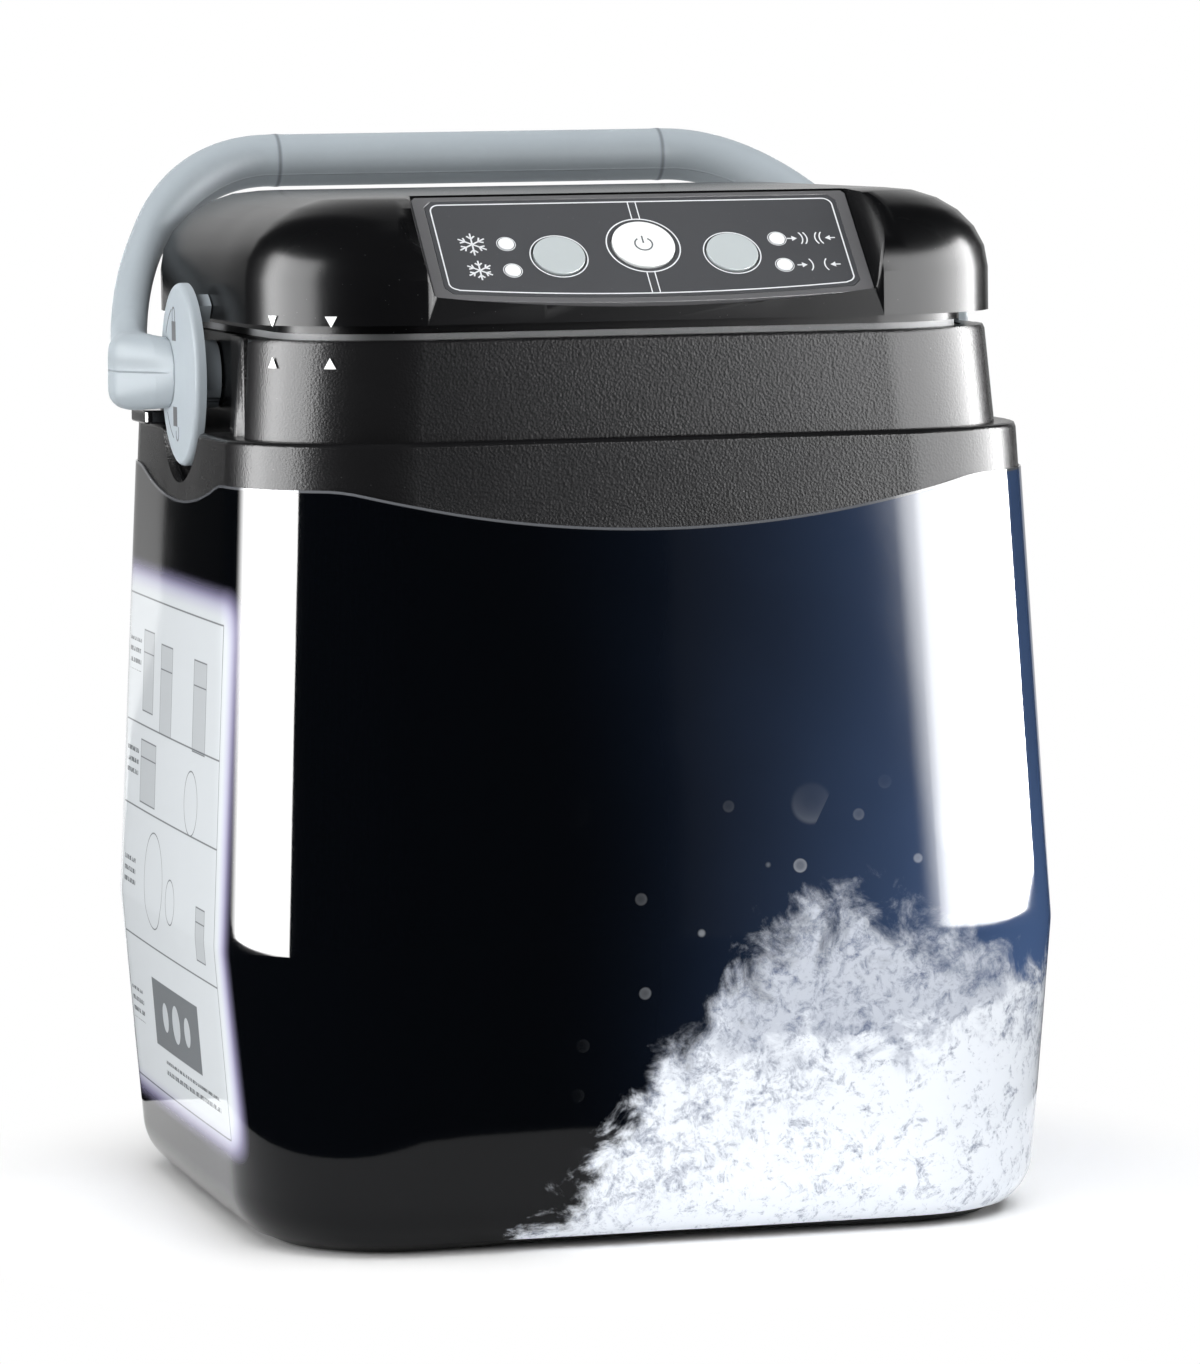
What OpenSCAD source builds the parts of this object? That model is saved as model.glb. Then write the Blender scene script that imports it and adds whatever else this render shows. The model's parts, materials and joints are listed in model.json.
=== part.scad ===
// Cold and compression therapy unit: an insulated ice and water case, a lift-off lid that carries
// the control panel, the water pump and the air compressor, and a handle that swings over the lid.
// Frame: the origin is the middle of the footprint, X to the right, Y to the back, Z up, millimetres.

/* [Case] */
// Width of the case at its belly, the widest place
case_w = 226.8; // [220:0.2:236]
// Height of the belly above the floor
belly_z = 78; // [60:1:110]
// How far the case's foot stands in from its belly, on each side
case_foot_in = 4.4; // [2:0.1:7]
// Radius of the case's bottom edge
base_round = 15.3; // [10:0.1:20]
// How far the case's shoulder stands in from its belly, on each side
shoulder_in = 6.3; // [3:0.1:8]
// Height of the shoulder above the floor
shoulder_z = 209.2; // [195:0.2:225]
// Radius of the shoulder's outer edge
shoulder_round = 1.5; // [0.5:0.1:3]
// How much shallower the case, its neck and its tank are than they are wide
depth_less = 13.6; // [8:0.2:18]
// Plan radius of the case's corners
case_corner = 41.7; // [36:0.1:48]
// How far the sides bow inwards towards the corners, as a share of the half width
side_bow = 0.012; // [0:0.002:0.02]
// Wall of the case
case_wall = 3; // [2:0.1:4]
// Thickness of the shoulder
shoulder_wall = 4.2; // [3:0.1:6]
// Height of the case's bottom edge above the floor
case_lift = 0.4; // [0.3:0.1:2]
// Width of the arch in the case's bottom edge, front and back
arch_w = 120; // [80:1:150]
// Height of that arch
arch_h = 2.7; // [1:0.1:4]

/* [Printed sleeve] */
// Thickness of the glossy sleeve
sleeve_t = 0.4; // [0.3:0.05:0.8]
// Height of the sleeve's bottom edge
sleeve_foot = 3; // [2.5:0.1:6]
// Height of the sleeve's top edge at the corners
sleeve_crest = 197.4; // [190:0.1:204]
// Height of the sleeve's top edge in the middle of the front
sleeve_front_z = 186; // [160:1:192]
// Height of the sleeve's top edge in the middle of a side
sleeve_side_z = 190.4; // [160:1:192]
// Radius of the front and back waves of the top edge
sleeve_front_wave = 357; // [300:1:600]
// Radius of the side waves of the top edge
sleeve_side_wave = 250; // [220:1:500]

/* [Base] */
// Thickness of the base plate
base_t = 3; // [2:0.1:4]
// Gap between the base plate and the case wall
base_gap = 0.5; // [0.3:0.1:1]
// Radius of a rubber foot
foot_r = 9; // [6:0.5:12]
// How far the base plate stands off the floor on its feet
foot_stand = 0.5; // [0.3:0.1:1.1]
// How deep a foot is let into the base plate
foot_recess = 1.2; // [0.6:0.1:1.6]
// Distance of the feet from the left and right side of the case's foot
foot_in_x = 43; // [36:1:56]
// Distance of the feet from the front and back of the case's foot
foot_in_y = 42.2; // [36:0.2:56]
// Radius of a screw boss for the base plate
base_boss_r = 5; // [4:0.5:6]
// Height of a screw boss for the base plate
base_boss_h = 12; // [8:1:16]

/* [Neck] */
// How far the neck stands in from the shoulder, on each side
neck_in = 5.4; // [4:0.1:6]
// How much further in the neck's top stands
neck_taper = 2; // [1:0.1:3]
// Height of the neck
neck_h = 25.6; // [22:0.2:30]
// Plan radius of the neck's corners
neck_corner = 38.3; // [36:0.1:42]
// Breadth of the neck's top edge
neck_wall = 6.4; // [5.6:0.1:7]
// How far the ledge that carries the tank reaches in from the neck's opening
ledge_reach = 2.5; // [2:0.1:3]
// Height of the tank's seat below the top of the neck
seat_drop = 2.9; // [2.5:0.1:4]
// Thickness of the ledge
ledge_t = 3; // [2:0.5:5]
// Radius of the upright grooves beside the hubs
groove_r = 8; // [6:0.5:10]
// Distance of those grooves from the hub's middle
groove_y = 51; // [47:1:56]
// Depth of those grooves
groove_depth = 3.4; // [2:0.1:4]

/* [Hub pocket] */
// Radius of the round pocket behind a hub
pocket_r = 28.8; // [27:0.1:31]
// Wall between the neck's opening and the pocket's floor
pocket_wall = 3.1; // [2.6:0.1:3.6]
// Half width of the flat on the neck around the pocket
flat_half = 43; // [36:1:45]
// Depth of that flat below the neck's top edge
flat_depth = 1.4; // [0.8:0.1:2]

/* [Ice tank] */
// Gap between the tank and the ledge that it hangs in
tank_gap = 0.6; // [0.4:0.1:2]
// How much narrower the tank is at its floor
tank_taper = 12; // [6:0.5:20]
// Wall of the tank
tank_wall = 2.2; // [1.5:0.1:3]
// Height of the tank's underside above the floor
tank_z = 12; // [9:0.5:20]
// Radius of the tank's bottom edge
tank_round = 12; // [8:1:20]
// Gap between the tank's flange and the neck's opening
flange_gap = 0.3; // [0.3:0.1:1]
// Thickness of the tank's flange
flange_t = 2.5; // [1.5:0.1:2.8]

/* [Lid] */
// How far the lid reaches out beyond the neck's top, on each side
lid_over = 0.6; // [0.2:0.1:2]
// How much shallower the lid is than it is wide
lid_depth_less = 10.8; // [9:0.1:13]
// Gap between the neck and the lid's lower edge
lid_gap = 3.9; // [3:0.1:6]
// Height of the lid
lid_h = 32.3; // [31:0.1:36]
// Plan radius of the lid's corners
lid_corner = 39; // [34:1:42]
// How far in the rounding of the lid's top edge reaches
lid_round_in = 27; // [20:0.5:32]
// How high that rounding is
lid_round_up = 21; // [16:0.5:24]
// Wall of the lid
lid_wall = 2.5; // [2:0.1:3.5]
// Gap between the neck's opening and the skirt that shows below the lid
skirt_gap = 0.8; // [0.4:0.1:2]
// Height of the skirt below the lid's floor flange
skirt_h = 3.5; // [2.5:0.1:4.5]
// Thickness of the lid's floor flange
lid_flange_t = 2; // [1.5:0.1:3]
// Gap between the tank's wall and the tub that hangs into it
tub_gap = 2.5; // [2:0.1:6]
// Depth of the tub below the skirt
tub_depth = 24; // [18:0.5:30]
// Wall of the tub
tub_wall = 2.5; // [2:0.1:3]
// Thickness of the foam on the tub's floor
lid_foam_t = 4; // [2:0.5:6]
// Gap between the sealing ring and the neck's opening
seal_gap = 2.1; // [1.6:0.1:3]
// Breadth of the sealing ring
seal_breadth = 3.6; // [2.5:0.1:5]
// Radius of a lid screw boss
lid_boss_r = 4; // [3.5:0.1:4.5]

/* [Control panel] */
// Slope of the control panel above the horizontal
panel_tilt = 43; // [38:0.5:48]
// How far the panel's foot stands in front of the lid
panel_out = 0.4; // [0:0.1:1.5]
// Height of the panel's foot above the lid's lower edge
panel_up = 5.25; // [5:0.05:7]
// Width of the bezel
bezel_w = 116.6; // [112:0.2:122]
// Length of the bezel up the slope
bezel_h = 39; // [37.5:0.1:39.4]
// Thickness of the bezel
bezel_t = 3; // [2.4:0.1:3.5]
// How far the bezel's lower edge bows out in the middle
bezel_bow = 2.7; // [1:0.1:3.5]
// Width of the bezel's border beside the overlay
overlay_side = 3.15; // [2.5:0.05:5]
// Distance of the overlay's corners up the slope
overlay_foot = 4; // [3.6:0.1:6]
// Distance of the overlay's top edge up the slope
overlay_top = 37.5; // [36:0.1:37.6]
// Thickness of the overlay
overlay_t = 0.5; // [0.3:0.05:0.8]
// Thickness of the lid's shelf under the bezel
shelf_t = 2.5; // [2:0.1:3]
// Slope of the recess's side walls away from upright
recess_flare = 21; // [10:1:30]
// Radius of the cold and the compression buttons
side_button_r = 6.8; // [5.5:0.1:7.5]
// Radius of the power button
power_button_r = 8.3; // [7:0.1:9]
// Distance of the two outer buttons from the middle
button_x = 23.1; // [20:0.1:26]
// Distance of the outer buttons up the slope
side_button_v = 16.6; // [14:0.1:19]
// Distance of the power button up the slope
power_button_v = 20; // [17:0.1:22]
// Gap around a button
button_gap = 0.3; // [0.2:0.05:0.5]
// How far a button stands proud of the bezel
button_proud = 0.5; // [0.2:0.1:1]
// Travel of a button
button_travel = 0.8; // [0.4:0.1:1]
// Radius of an indicator lens
led_r = 2.1; // [1.5:0.1:2.5]
// Distance of the indicator lenses from the middle
led_x = 36.2; // [34:0.1:40]
// Distances of the lower and upper lenses up the slope
led_low = 11.8; // [9:0.1:14]
led_high = 21.5; // [18:0.1:24]
// Width of the circuit board
board_w = 96; // [88:1:100]
// Distances of the board's lower and upper edge up the slope
board_low = 9; // [8:0.5:10]
board_high = 34; // [30:0.5:36]
// Thickness of the circuit board
board_t = 1.6; // [1:0.1:2]

/* [Handle] */
// Gap between the folded bar and the back of the lid
bar_gap = 9.9; // [6:0.1:16]
// Height of the folded handle's bar above its pivot
bar_up = 55; // [53:0.5:60]
// Height of the handle's pivot above the shoulder
pivot_up = 14.4; // [13:0.1:16]
// Half length of the straight bar
bar_half = 58; // [40:1:62]
// Radius of the bar
bar_r = 7.2; // [6:0.1:8]
// Half width of an arm, across
arm_half_w = 4.8; // [4:0.1:4.9]
// Half thickness of an arm, along the swing
arm_half_t = 6.5; // [5:0.1:7.5]
// Distance of the arm's root from the hub disc's outer face
arm_root_out = 7.2; // [7:0.1:10]
// Distance of the arm's root behind the pivot
arm_root_back = 30; // [28:0.5:34]
// Height of the arm's root above the pivot
arm_root_up = 1.4; // [0:0.1:4]
// Height of a hub bracket
bracket_h = 21; // [17:0.5:21]
// Width of a hub bracket's end
bracket_w = 12.6; // [10:0.1:14]
// Length of a hub bracket's end
bracket_l = 18; // [14:0.5:20]
// Radius of the bracket's rounded edges
bracket_round = 5; // [3:0.5:6]
// Radius of a hub disc
hub_r = 24.3; // [22:0.1:25]
// Thickness of a hub disc
hub_t = 3; // [2.5:0.1:3.2]
// How far a hub disc's outer face stands in from the shoulder's edge
hub_in = 0.1; // [0:0.1:0.4]
// Radius of the hub's sleeve
hub_sleeve_r = 9; // [8:0.1:9.6]
// Gap between the sleeve and the pocket's floor
hub_gap = 0.5; // [0.3:0.1:1]
// Radius of a pivot pin
pin_r = 5; // [4:0.1:6]
// Clearance around a pivot pin in its hub
pin_clear = 0.05; // [0.02:0.01:0.1]
// Radius of a pivot pin's head
pin_head_r = 7; // [6:0.1:7.4]
// Thickness of a pivot pin's head
pin_head_t = 1.6; // [1:0.1:1.8]
// How far the lock tab reaches from the disc towards the lid
tab_reach = 3.5; // [2:0.1:3.6]
// Radial size of the lock tab
tab_size = 6; // [4:0.1:7]
// Angles of the lock tab, up from straight back
tab_from = 116; // [110:1:118]
tab_to = 129; // [124:1:132]
// Height of a handle stop above the shoulder
stop_h = 3.7; // [3:0.1:3.8]
// Length of a handle stop
stop_l = 22; // [14:0.5:24]
// How far a handle stop reaches out beyond the shoulder
stop_out = 3.9; // [2:0.1:5]

/* [Hose socket] */
// Half width of the notch for the socket at the back of the lid
notch_half = 31; // [30.6:0.2:34]
// Height of the notch's floor above the lid's lower edge
notch_up = 5.3; // [5.2:0.1:7]
// Depth of the notch in the back of the lid
notch_depth = 8.4; // [7:0.1:11]
// Half width of the socket's flange
socket_half = 24; // [22:0.5:24.6]
// Height of the socket's flange
socket_h = 15; // [14:0.1:16]
// Thickness of the socket's flange
socket_t = 3.5; // [3:0.1:4]
// Half width of the socket's port block
port_block_half = 16; // [15.2:0.1:17]
// Depth of the port block behind the notch's wall
port_block_l = 16; // [14:0.5:18]
// Radius of a water port
water_port_r = 3.6; // [3:0.1:4]
// Radius of the air port
air_port_r = 2.2; // [2.1:0.05:2.6]
// Depth of the port that the water leaves by
out_port_depth = 14; // [11:0.5:15]
// How much shallower the return port is, and the air port again
port_depth_step = 1; // [0.5:0.1:2]
// Distance of the water ports from the air port
port_pitch = 10.5; // [9:0.1:11]
// Travel of the hose release latch
latch_travel = 1.5; // [1:0.1:2]
// Half width of the release latch
latch_half = 6; // [4:0.1:8]
// Radius of the power inlet's hole
inlet_r = 2.8; // [2.5:0.05:3]
// Depth of the power inlet's hole
inlet_depth = 9; // [7:0.5:11]

/* [Pump] */
// Gaps between the pump and the tank's right wall and back wall
pump_side_gap = 8; // [5:0.5:14]
pump_back_gap = 9.2; // [6:0.2:14]
// Gap between the strainer and the tank's floor
pump_stand = 2; // [1.5:0.1:4]
// Radius of the pump's housing
pump_r = 24; // [22:0.5:26]
// Height of the strainer
strainer_h = 16; // [14:0.5:20]
// Height of the pump's housing above the strainer
pump_h = 36; // [32:0.5:44]
// Wall of the pump's housing
pump_wall = 2.5; // [2:0.1:3.5]
// Radius of the pump's motor
pump_motor_r = 15; // [12:0.5:18]
// Radius of the impeller
impeller_r = 11; // [9:0.5:13]
// Radius of the pump's shaft
pump_shaft_r = 1.5; // [1:0.1:2]
// Radius of the stem
stem_r = 10; // [9:0.1:12]
// Outer and inner radius of the water tubes
tube_r = 3.2; // [2.8:0.1:3.5]
tube_bore_r = 2.2; // [1.6:0.1:2.4]

/* [Compressor] */
// Place of the compressor's shaft axis
comp_y = 8; // [0:1:14]
comp_up = 19; // [17:0.5:22]
// Gap between the compressor's motor and the left wall of the lid's tub
comp_gap = 15; // [11:0.5:19]
// Radius of the compressor's motor
comp_motor_r = 13; // [11:0.5:14]
// Length of the compressor's motor
comp_motor_l = 34; // [28:1:38]
// Size of the compressor's body, along X and across
comp_body_l = 22; // [20:0.5:26]
comp_body_w = 30; // [29:0.5:36]
// Radius of the crank disc
crank_r = 9; // [7:0.5:10]
// Throw of the crank
crank_throw = 3; // [2:0.1:4]
// Radius of the motor shafts
comp_shaft_r = 1.5; // [1:0.1:2]
// Radius and height of the diaphragm head
head_r = 15; // [12:0.5:16]
head_h = 9; // [6:0.5:10]

/* [Hidden] */

$fn = 64;
corner_steps = 8;       // facets in a plan corner
side_steps = 4;         // facets in a bowed side
round_steps = 6;        // facets in a rounded edge
hull_fn = 24;           // facets of round shapes inside a hull
skin = 0.02;            // thickness of the slices that hulls span
fit_gap = 0.3;          // gap between curved faces that lie against each other
sleeve_gap = 0.05;      // gap between the sleeve and the case
screw_hole_gap = 0.1;   // gap around a screw's shank
cut = 1;                // how far cutters reach past what they cut

case_half = case_w / 2;
foot_half = case_half - case_foot_in;
foot_x = foot_half - foot_in_x;
foot_y = foot_half - depth_less / 2 - foot_in_y;
shoulder_half = case_half - shoulder_in;
neck_half = shoulder_half - neck_in;
neck_top_half = neck_half - neck_taper;
opening_half = neck_top_half - neck_wall;
ledge_half = opening_half - ledge_reach;
pocket_x = opening_half + pocket_wall;
flat_x = neck_top_half - flat_depth;
hub_x = shoulder_half - hub_in;
arm_root_x = hub_x + arm_root_out;
lid_half = neck_top_half + lid_over;
lid_w = 2 * lid_half;
lid_d = lid_w - lid_depth_less;
neck_z = shoulder_z + neck_h;
seat_z = neck_z - seat_drop;
ledge_z = seat_z - ledge_t;
pivot_z = shoulder_z + pivot_up;
lid_z = neck_z + lid_gap;
lid_top = lid_z + lid_h;
lid_side_z = lid_top - lid_round_up;
cavity_top = shoulder_z - shoulder_wall;
base_z = foot_stand;
base_top = base_z + base_t;
flange_z = seat_z + flange_t;
tank_top_half = ledge_half - tank_gap;
tank_foot_half = tank_top_half - tank_taper / 2;
skirt_top = lid_z + 1.2;
skirt_z = skirt_top - skirt_h;
tub_floor = skirt_z - tub_depth;
lid_flange_top = skirt_top + lid_flange_t;
works_z = tub_floor + tub_wall + lid_foam_t;
tub_half = tank_top_half - tank_wall - tub_gap;
skirt_half = opening_half - skirt_gap;
seal_half = opening_half - seal_gap;
overlay_half = bezel_w / 2 - overlay_side;
notch_y = lid_d / 2 - notch_depth;
bar_back = lid_d / 2 + bar_gap + bar_r;
beta = atan2(bar_up - arm_root_up, bar_back - arm_root_back);
bow_reach = norm([bar_up - arm_root_up, bar_back - arm_root_back]);

function lerp(a, b, t) = a + (b - a) * t;
function unit(v) = v / norm(v);
function sq(x) = x * x;

// ---- Plan outlines and stacked forms -------------------------------------------------------

// Corners of a rounded rectangle, as arcs
function corner_arcs(hw, hd, r) = [
    for (q = [0:3], k = [0:corner_steps])
        let(a = 90 * q + 90 * k / corner_steps,
            cx = (q == 0 || q == 3) ? hw - r : r - hw,
            cy = q < 2 ? hd - r : r - hd)
        [cx + r * cos(a), cy + r * sin(a)]];

// The same rectangle with points along its sides, which bow in towards the corners
function outline(hw, hd, r, bow = side_bow) =
    let(arcs = corner_arcs(hw, hd, r), n = len(arcs), per = corner_steps + 1,
        full = [for (i = [0:n - 1]) each
            i % per == corner_steps
                ? [for (j = [0:side_steps - 1]) lerp(arcs[i], arcs[(i + 1) % n], j / side_steps)]
                : [arcs[i]]])
    [for (p = full) [p.x * (1 - bow * sq(p.y / hd)), p.y * (1 - bow * sq(p.x / hw))]];

// A thin slice of a form at one height
module slice(z, hw, hd, r) {
    translate([0, 0, z]) linear_extrude(skin) polygon(outline(hw, hd, r));
}

// Half width of the case at a height: rounded foot, swelling to the belly, drawn in to the shoulder
function case_half_at(z) =
    z < base_round ? foot_half - base_round + sqrt(sq(base_round) - sq(base_round - max(z, 0))) :
    z < belly_z ? lerp(foot_half, case_half, (z - base_round) / (belly_z - base_round)) :
    lerp(case_half, shoulder_half, (z - belly_z) / (shoulder_z - belly_z));

// Plan radius of the case's corners at a height
function corner_at(z) = case_corner - (z < base_round ? foot_half - case_half_at(z) : 0);

// Plan radius of what stands inside the neck, whose corners keep the neck's centres
function inner_corner(half) = neck_corner - (neck_top_half - half);

// A slice of the case, or of what fits inside it
module case_slice(z, half, corner) {
    slice(z, half, half - depth_less / 2, corner);
}

// The case's outside, moved in by inset, from height low to height high
module case_form(inset, low, high, top_round = 0) {
    levels = [low, for (k = [1:round_steps]) lerp(low, base_round, k / round_steps), belly_z];
    hull() {
        for (z = levels) case_slice(z, case_half_at(z) - inset, corner_at(z) - inset);
        for (a = top_round > 0 ? [0, 45, 90] : [90]) {
            draw_in = inset + top_round * (1 - cos(a));
            case_slice(high - top_round * (1 - sin(a)) - skin,
                case_half_at(high) - draw_in, corner_at(high) - draw_in);
        }
    }
}

// The case's outside under the sleeve, grown by a gap
module shell_form(gap = 0) {
    case_form(sleeve_t - gap, case_lift, shoulder_z, shoulder_round);
}

// The neck's outside
module neck_form() {
    edge = 1.2;
    hull() {
        case_slice(shoulder_z - shoulder_wall / 2, neck_half, neck_corner);
        case_slice(neck_z - edge, neck_top_half, neck_corner);
        case_slice(neck_z - skin, neck_top_half - edge / 2, neck_corner - edge / 2);
    }
}

// A straight-sided block with the case's plan shape
module case_block(half, corner, low, high) {
    translate([0, 0, low]) linear_extrude(high - low)
        polygon(outline(half, half - depth_less / 2, corner));
}

// A straight-sided block with the lid's plan shape, inset from the lid's edge
module lid_block(half, low, high) {
    inset = lid_half - half;
    translate([0, 0, low]) linear_extrude(high - low)
        polygon(outline(half, lid_d / 2 - inset, max(lid_corner - inset, 4)));
}

// The lid's domed outside, moved in by inset
module lid_form(inset, low) {
    hull() {
        lid_block(lid_half - inset, low, lid_side_z);
        for (k = [1:round_steps]) {
            a = 90 * k / round_steps;
            reach = (lid_round_in - inset) * (1 - cos(a)) + inset;
            slice(lid_side_z + (lid_round_up - inset) * sin(a) - skin,
                lid_half - reach, lid_d / 2 - reach, lid_corner - reach);
        }
    }
}

// The tank's outside, moved in by inset
module tank_form(inset, high) {
    hull() {
        for (k = [0:round_steps / 2]) {
            a = 90 * k / (round_steps / 2);
            draw_in = tank_round * (1 - sin(a));
            case_slice(tank_z + inset + (tank_round - inset) * (1 - cos(a)),
                tank_foot_half - draw_in - inset, inner_corner(tank_foot_half - draw_in - inset));
        }
        case_slice(high - skin, tank_top_half - inset, inner_corner(tank_top_half - inset));
    }
}

// Both of a mirrored pair, or one of them
module on_side(side) {
    scale_x = side < 0 ? 0 : 1;
    mirror([scale_x, 0, 0]) children();
}
module both_sides() {
    children();
    mirror([1, 0, 0]) children();
}
module four_corners(x, y) {
    for (sx = [-1, 1], sy = [-1, 1]) translate([sx * x, sy * y, 0]) children();
}

// Rods along X and Y that start at the origin
module rod_x(r, l) { rotate([0, 90, 0]) cylinder(r = r, h = l); }
module rod_y(r, l) { rotate([-90, 0, 0]) cylinder(r = r, h = l); }

// ---- Tubes swept along a path --------------------------------------------------------------

function path_dir(p, i) = unit(p[min(i + 1, len(p) - 1)] - p[max(i - 1, 0)]);

// One ring of an oval tube: half thickness a along up, half width b across it
function ring(c, t, up, a, b, n) =
    let(e1 = unit(up - t * (up * t)), e2 = cross(t, e1))
    [for (k = [0:n - 1]) c + a * cos(360 * k / n) * e1 + b * sin(360 * k / n) * e2];

module sweep(path, up, a, b, n) {
    m = len(path);
    points = [for (i = [0:m - 1]) each ring(path[i], path_dir(path, i), up, a[i], b[i], n)];
    near_end = [for (k = [0:n - 1]) k];
    far_end = [for (k = [n - 1:-1:0]) (m - 1) * n + k];
    sides = [for (i = [0:m - 2], k = [0:n - 1])
        let(j = (k + 1) % n) each [
            [i * n + k, (i + 1) * n + k, (i + 1) * n + j],
            [i * n + k, (i + 1) * n + j, i * n + j]]];
    polyhedron(points, concat([near_end, far_end], sides));
}

// A round wire along a path
module wire(path, r, n = 8) {
    radii = [for (p = path) r];
    sweep(path, [0.31, 0.27, 0.91], radii, radii, n);
}

// ---- Case ----------------------------------------------------------------------------------

base_half = case_half_at(case_lift) - sleeve_t - case_wall - base_gap;
base_corner = corner_at(case_lift) - sleeve_t - case_wall - base_gap;
boss_reach = base_corner - 4.7;         // distance of a base screw from its corner's centre

// Puts a child in each corner of the base, with X pointing out along the diagonal
module base_corners() {
    x = foot_half - case_corner;
    for (sx = [-1, 1], sy = [-1, 1])
        translate([sx * x, sy * (x - depth_less / 2), 0]) rotate(atan2(sy, sx)) children();
}

// A boss for a base screw, with the rib that ties it to the wall
module base_boss(grow, drop = 0) {
    rib = 4 + 2 * grow;
    step_h = 5.5 + drop;
    full_h = base_boss_h + grow + drop;
    low_reach = corner_at(base_top) - sleeve_t - case_wall / 2;
    high_reach = corner_at(base_top + 5.5) - sleeve_t - case_wall / 2;
    translate([boss_reach, 0, base_top - drop]) {
        cylinder(r = base_boss_r + grow, h = full_h);
        translate([0, -rib / 2, 0]) cube([low_reach - boss_reach, rib, step_h + grow]);
        translate([0, -rib / 2, step_h]) cube([high_reach - boss_reach, rib, full_h - step_h]);
    }
}

// The arch in the case's bottom edge, cut by a very large cylinder across the case
module arch_cutter() {
    arch_r = (sq(arch_w / 2) + sq(arch_h)) / (2 * arch_h);
    translate([0, -case_w, case_lift + arch_h - arch_r])
        rotate([-90, 0, 0]) cylinder(r = arch_r, h = 2 * case_w, $fn = 360);
}

// The pocket that a hub turns in, open to the outside and upwards
module hub_pocket(grow = 0) {
    r = pocket_r + grow;
    translate([pocket_x - grow, 0, pivot_z]) {
        rod_x(r, case_half);
        translate([0, -r, 0]) cube([case_half, 2 * r, neck_h + cut]);
    }
}

module case_shell() color("#1b1c1e") {
    difference() {
        union() {
            difference() {
                union() {
                    shell_form();
                    neck_form();
                }
                // room for the foam and the tank, open at the base
                case_form(case_wall + sleeve_t, case_lift - cut, cavity_top);
            }
            // round boss behind each hub pocket
            both_sides() intersection() {
                translate([opening_half, 0, pivot_z])
                    rod_x(pocket_r + case_wall, shoulder_half - opening_half - case_wall);
                translate([0, -case_half, 0]) cube([case_half, case_w, cavity_top + cut]);
            }
            base_corners() base_boss(0);
        }
        // openings in the neck, above and below the ledge
        case_block(opening_half, inner_corner(opening_half), cavity_top - cut, ledge_z);
        case_block(opening_half, inner_corner(opening_half), seat_z, neck_z + cut);
        case_block(ledge_half, inner_corner(ledge_half), ledge_z - cut, seat_z + cut);
        arch_cutter();
        both_sides() {
            hub_pocket();
            // flat on the neck around the pocket, and a groove on each side of it
            translate([flat_x, -flat_half, shoulder_z])
                cube([case_half, 2 * flat_half, neck_h + cut]);
            for (s = [-1, 1])
                translate([neck_half - groove_depth + groove_r, s * groove_y, shoulder_z])
                    cylinder(r = groove_r, h = neck_h + cut);
            // hole for the pivot pin, and room for its head in the ledge
            translate([opening_half - cut, 0, pivot_z])
                rod_x(pin_r + pin_clear, pocket_x - opening_half + 2 * cut);
            translate([opening_half - 3, 0, pivot_z]) rod_x(pin_head_r + fit_gap, 3);
        }
        base_corners() translate([boss_reach, 0, base_top - cut])
            cylinder(r = 1.4 + screw_hole_gap, h = base_boss_h);
    }
}

// The printed sleeve: a skin around the case whose top edge waves
module print_sleeve() color("#101a33") {
    difference() {
        case_form(0, sleeve_foot, sleeve_crest);
        shell_form(sleeve_gap);
        translate([0, 0, sleeve_front_z + sleeve_front_wave]) rotate([90, 0, 0])
            cylinder(r = sleeve_front_wave, h = 2 * case_w, center = true, $fn = 240);
        translate([0, 0, sleeve_side_z + sleeve_side_wave]) rotate([0, 90, 0])
            cylinder(r = sleeve_side_wave, h = 2 * case_w, center = true, $fn = 240);
        arch_cutter();
    }
}

module base_plate() color("#151515") {
    step_z = base_z + base_t / 2;
    wider = case_half_at(step_z) - case_half_at(case_lift);
    difference() {
        union() {
            case_block(base_half, base_corner, base_z, base_top);
            case_block(base_half + wider, base_corner + wider, step_z, base_top);
        }
        four_corners(foot_x, foot_y) translate([0, 0, base_z - cut])
            cylinder(r = foot_r + fit_gap, h = foot_recess + cut);
        base_corners() translate([boss_reach, 0, base_z - cut]) {
            cylinder(r = 1.4 + screw_hole_gap, h = base_t + 2 * cut);
            cylinder(r = 3.2, h = cut + 1.4);
        }
    }
}

module rubber_feet() color("#222222") four_corners(foot_x, foot_y) {
    cylinder(r1 = foot_r - 1, r2 = foot_r, h = 0.8);
    translate([0, 0, 0.8]) cylinder(r = foot_r, h = foot_stand + foot_recess - 0.8);
}

module base_screws() color("#9a9a9a") base_corners() translate([boss_reach, 0, base_z]) {
    translate([0, 0, 0.3]) cylinder(r = 3, h = 1.1);
    translate([0, 0, 1.4]) cylinder(r = 1.4, h = base_t + base_boss_h - 5);
}

module foam_jacket() color("#e8e2cf") {
    difference() {
        case_form(case_wall + sleeve_t + fit_gap, base_top, cavity_top);
        tank_form(-fit_gap, cavity_top + cut);
        both_sides() translate([opening_half - fit_gap, 0, pivot_z])
            rod_x(pocket_r + case_wall + fit_gap, case_half);
        base_corners() base_boss(fit_gap, cut);
    }
}

module ice_tank() color("#dfe3e6") {
    difference() {
        union() {
            tank_form(0, seat_z + flange_t / 2);
            case_block(opening_half - flange_gap, inner_corner(opening_half - flange_gap), seat_z, flange_z);
        }
        tank_form(tank_wall, flange_z + cut);
    }
}

module pivot_pin() color("#b8bcc0") {
    translate([opening_half - pin_head_t, 0, pivot_z]) rod_x(pin_head_r, pin_head_t);
    translate([opening_half, 0, pivot_z])
        rod_x(pin_r, hub_x - 1.6 - opening_half);
}
module pivot_pin_left() on_side(1) pivot_pin();
module pivot_pin_right() on_side(-1) pivot_pin();

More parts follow.
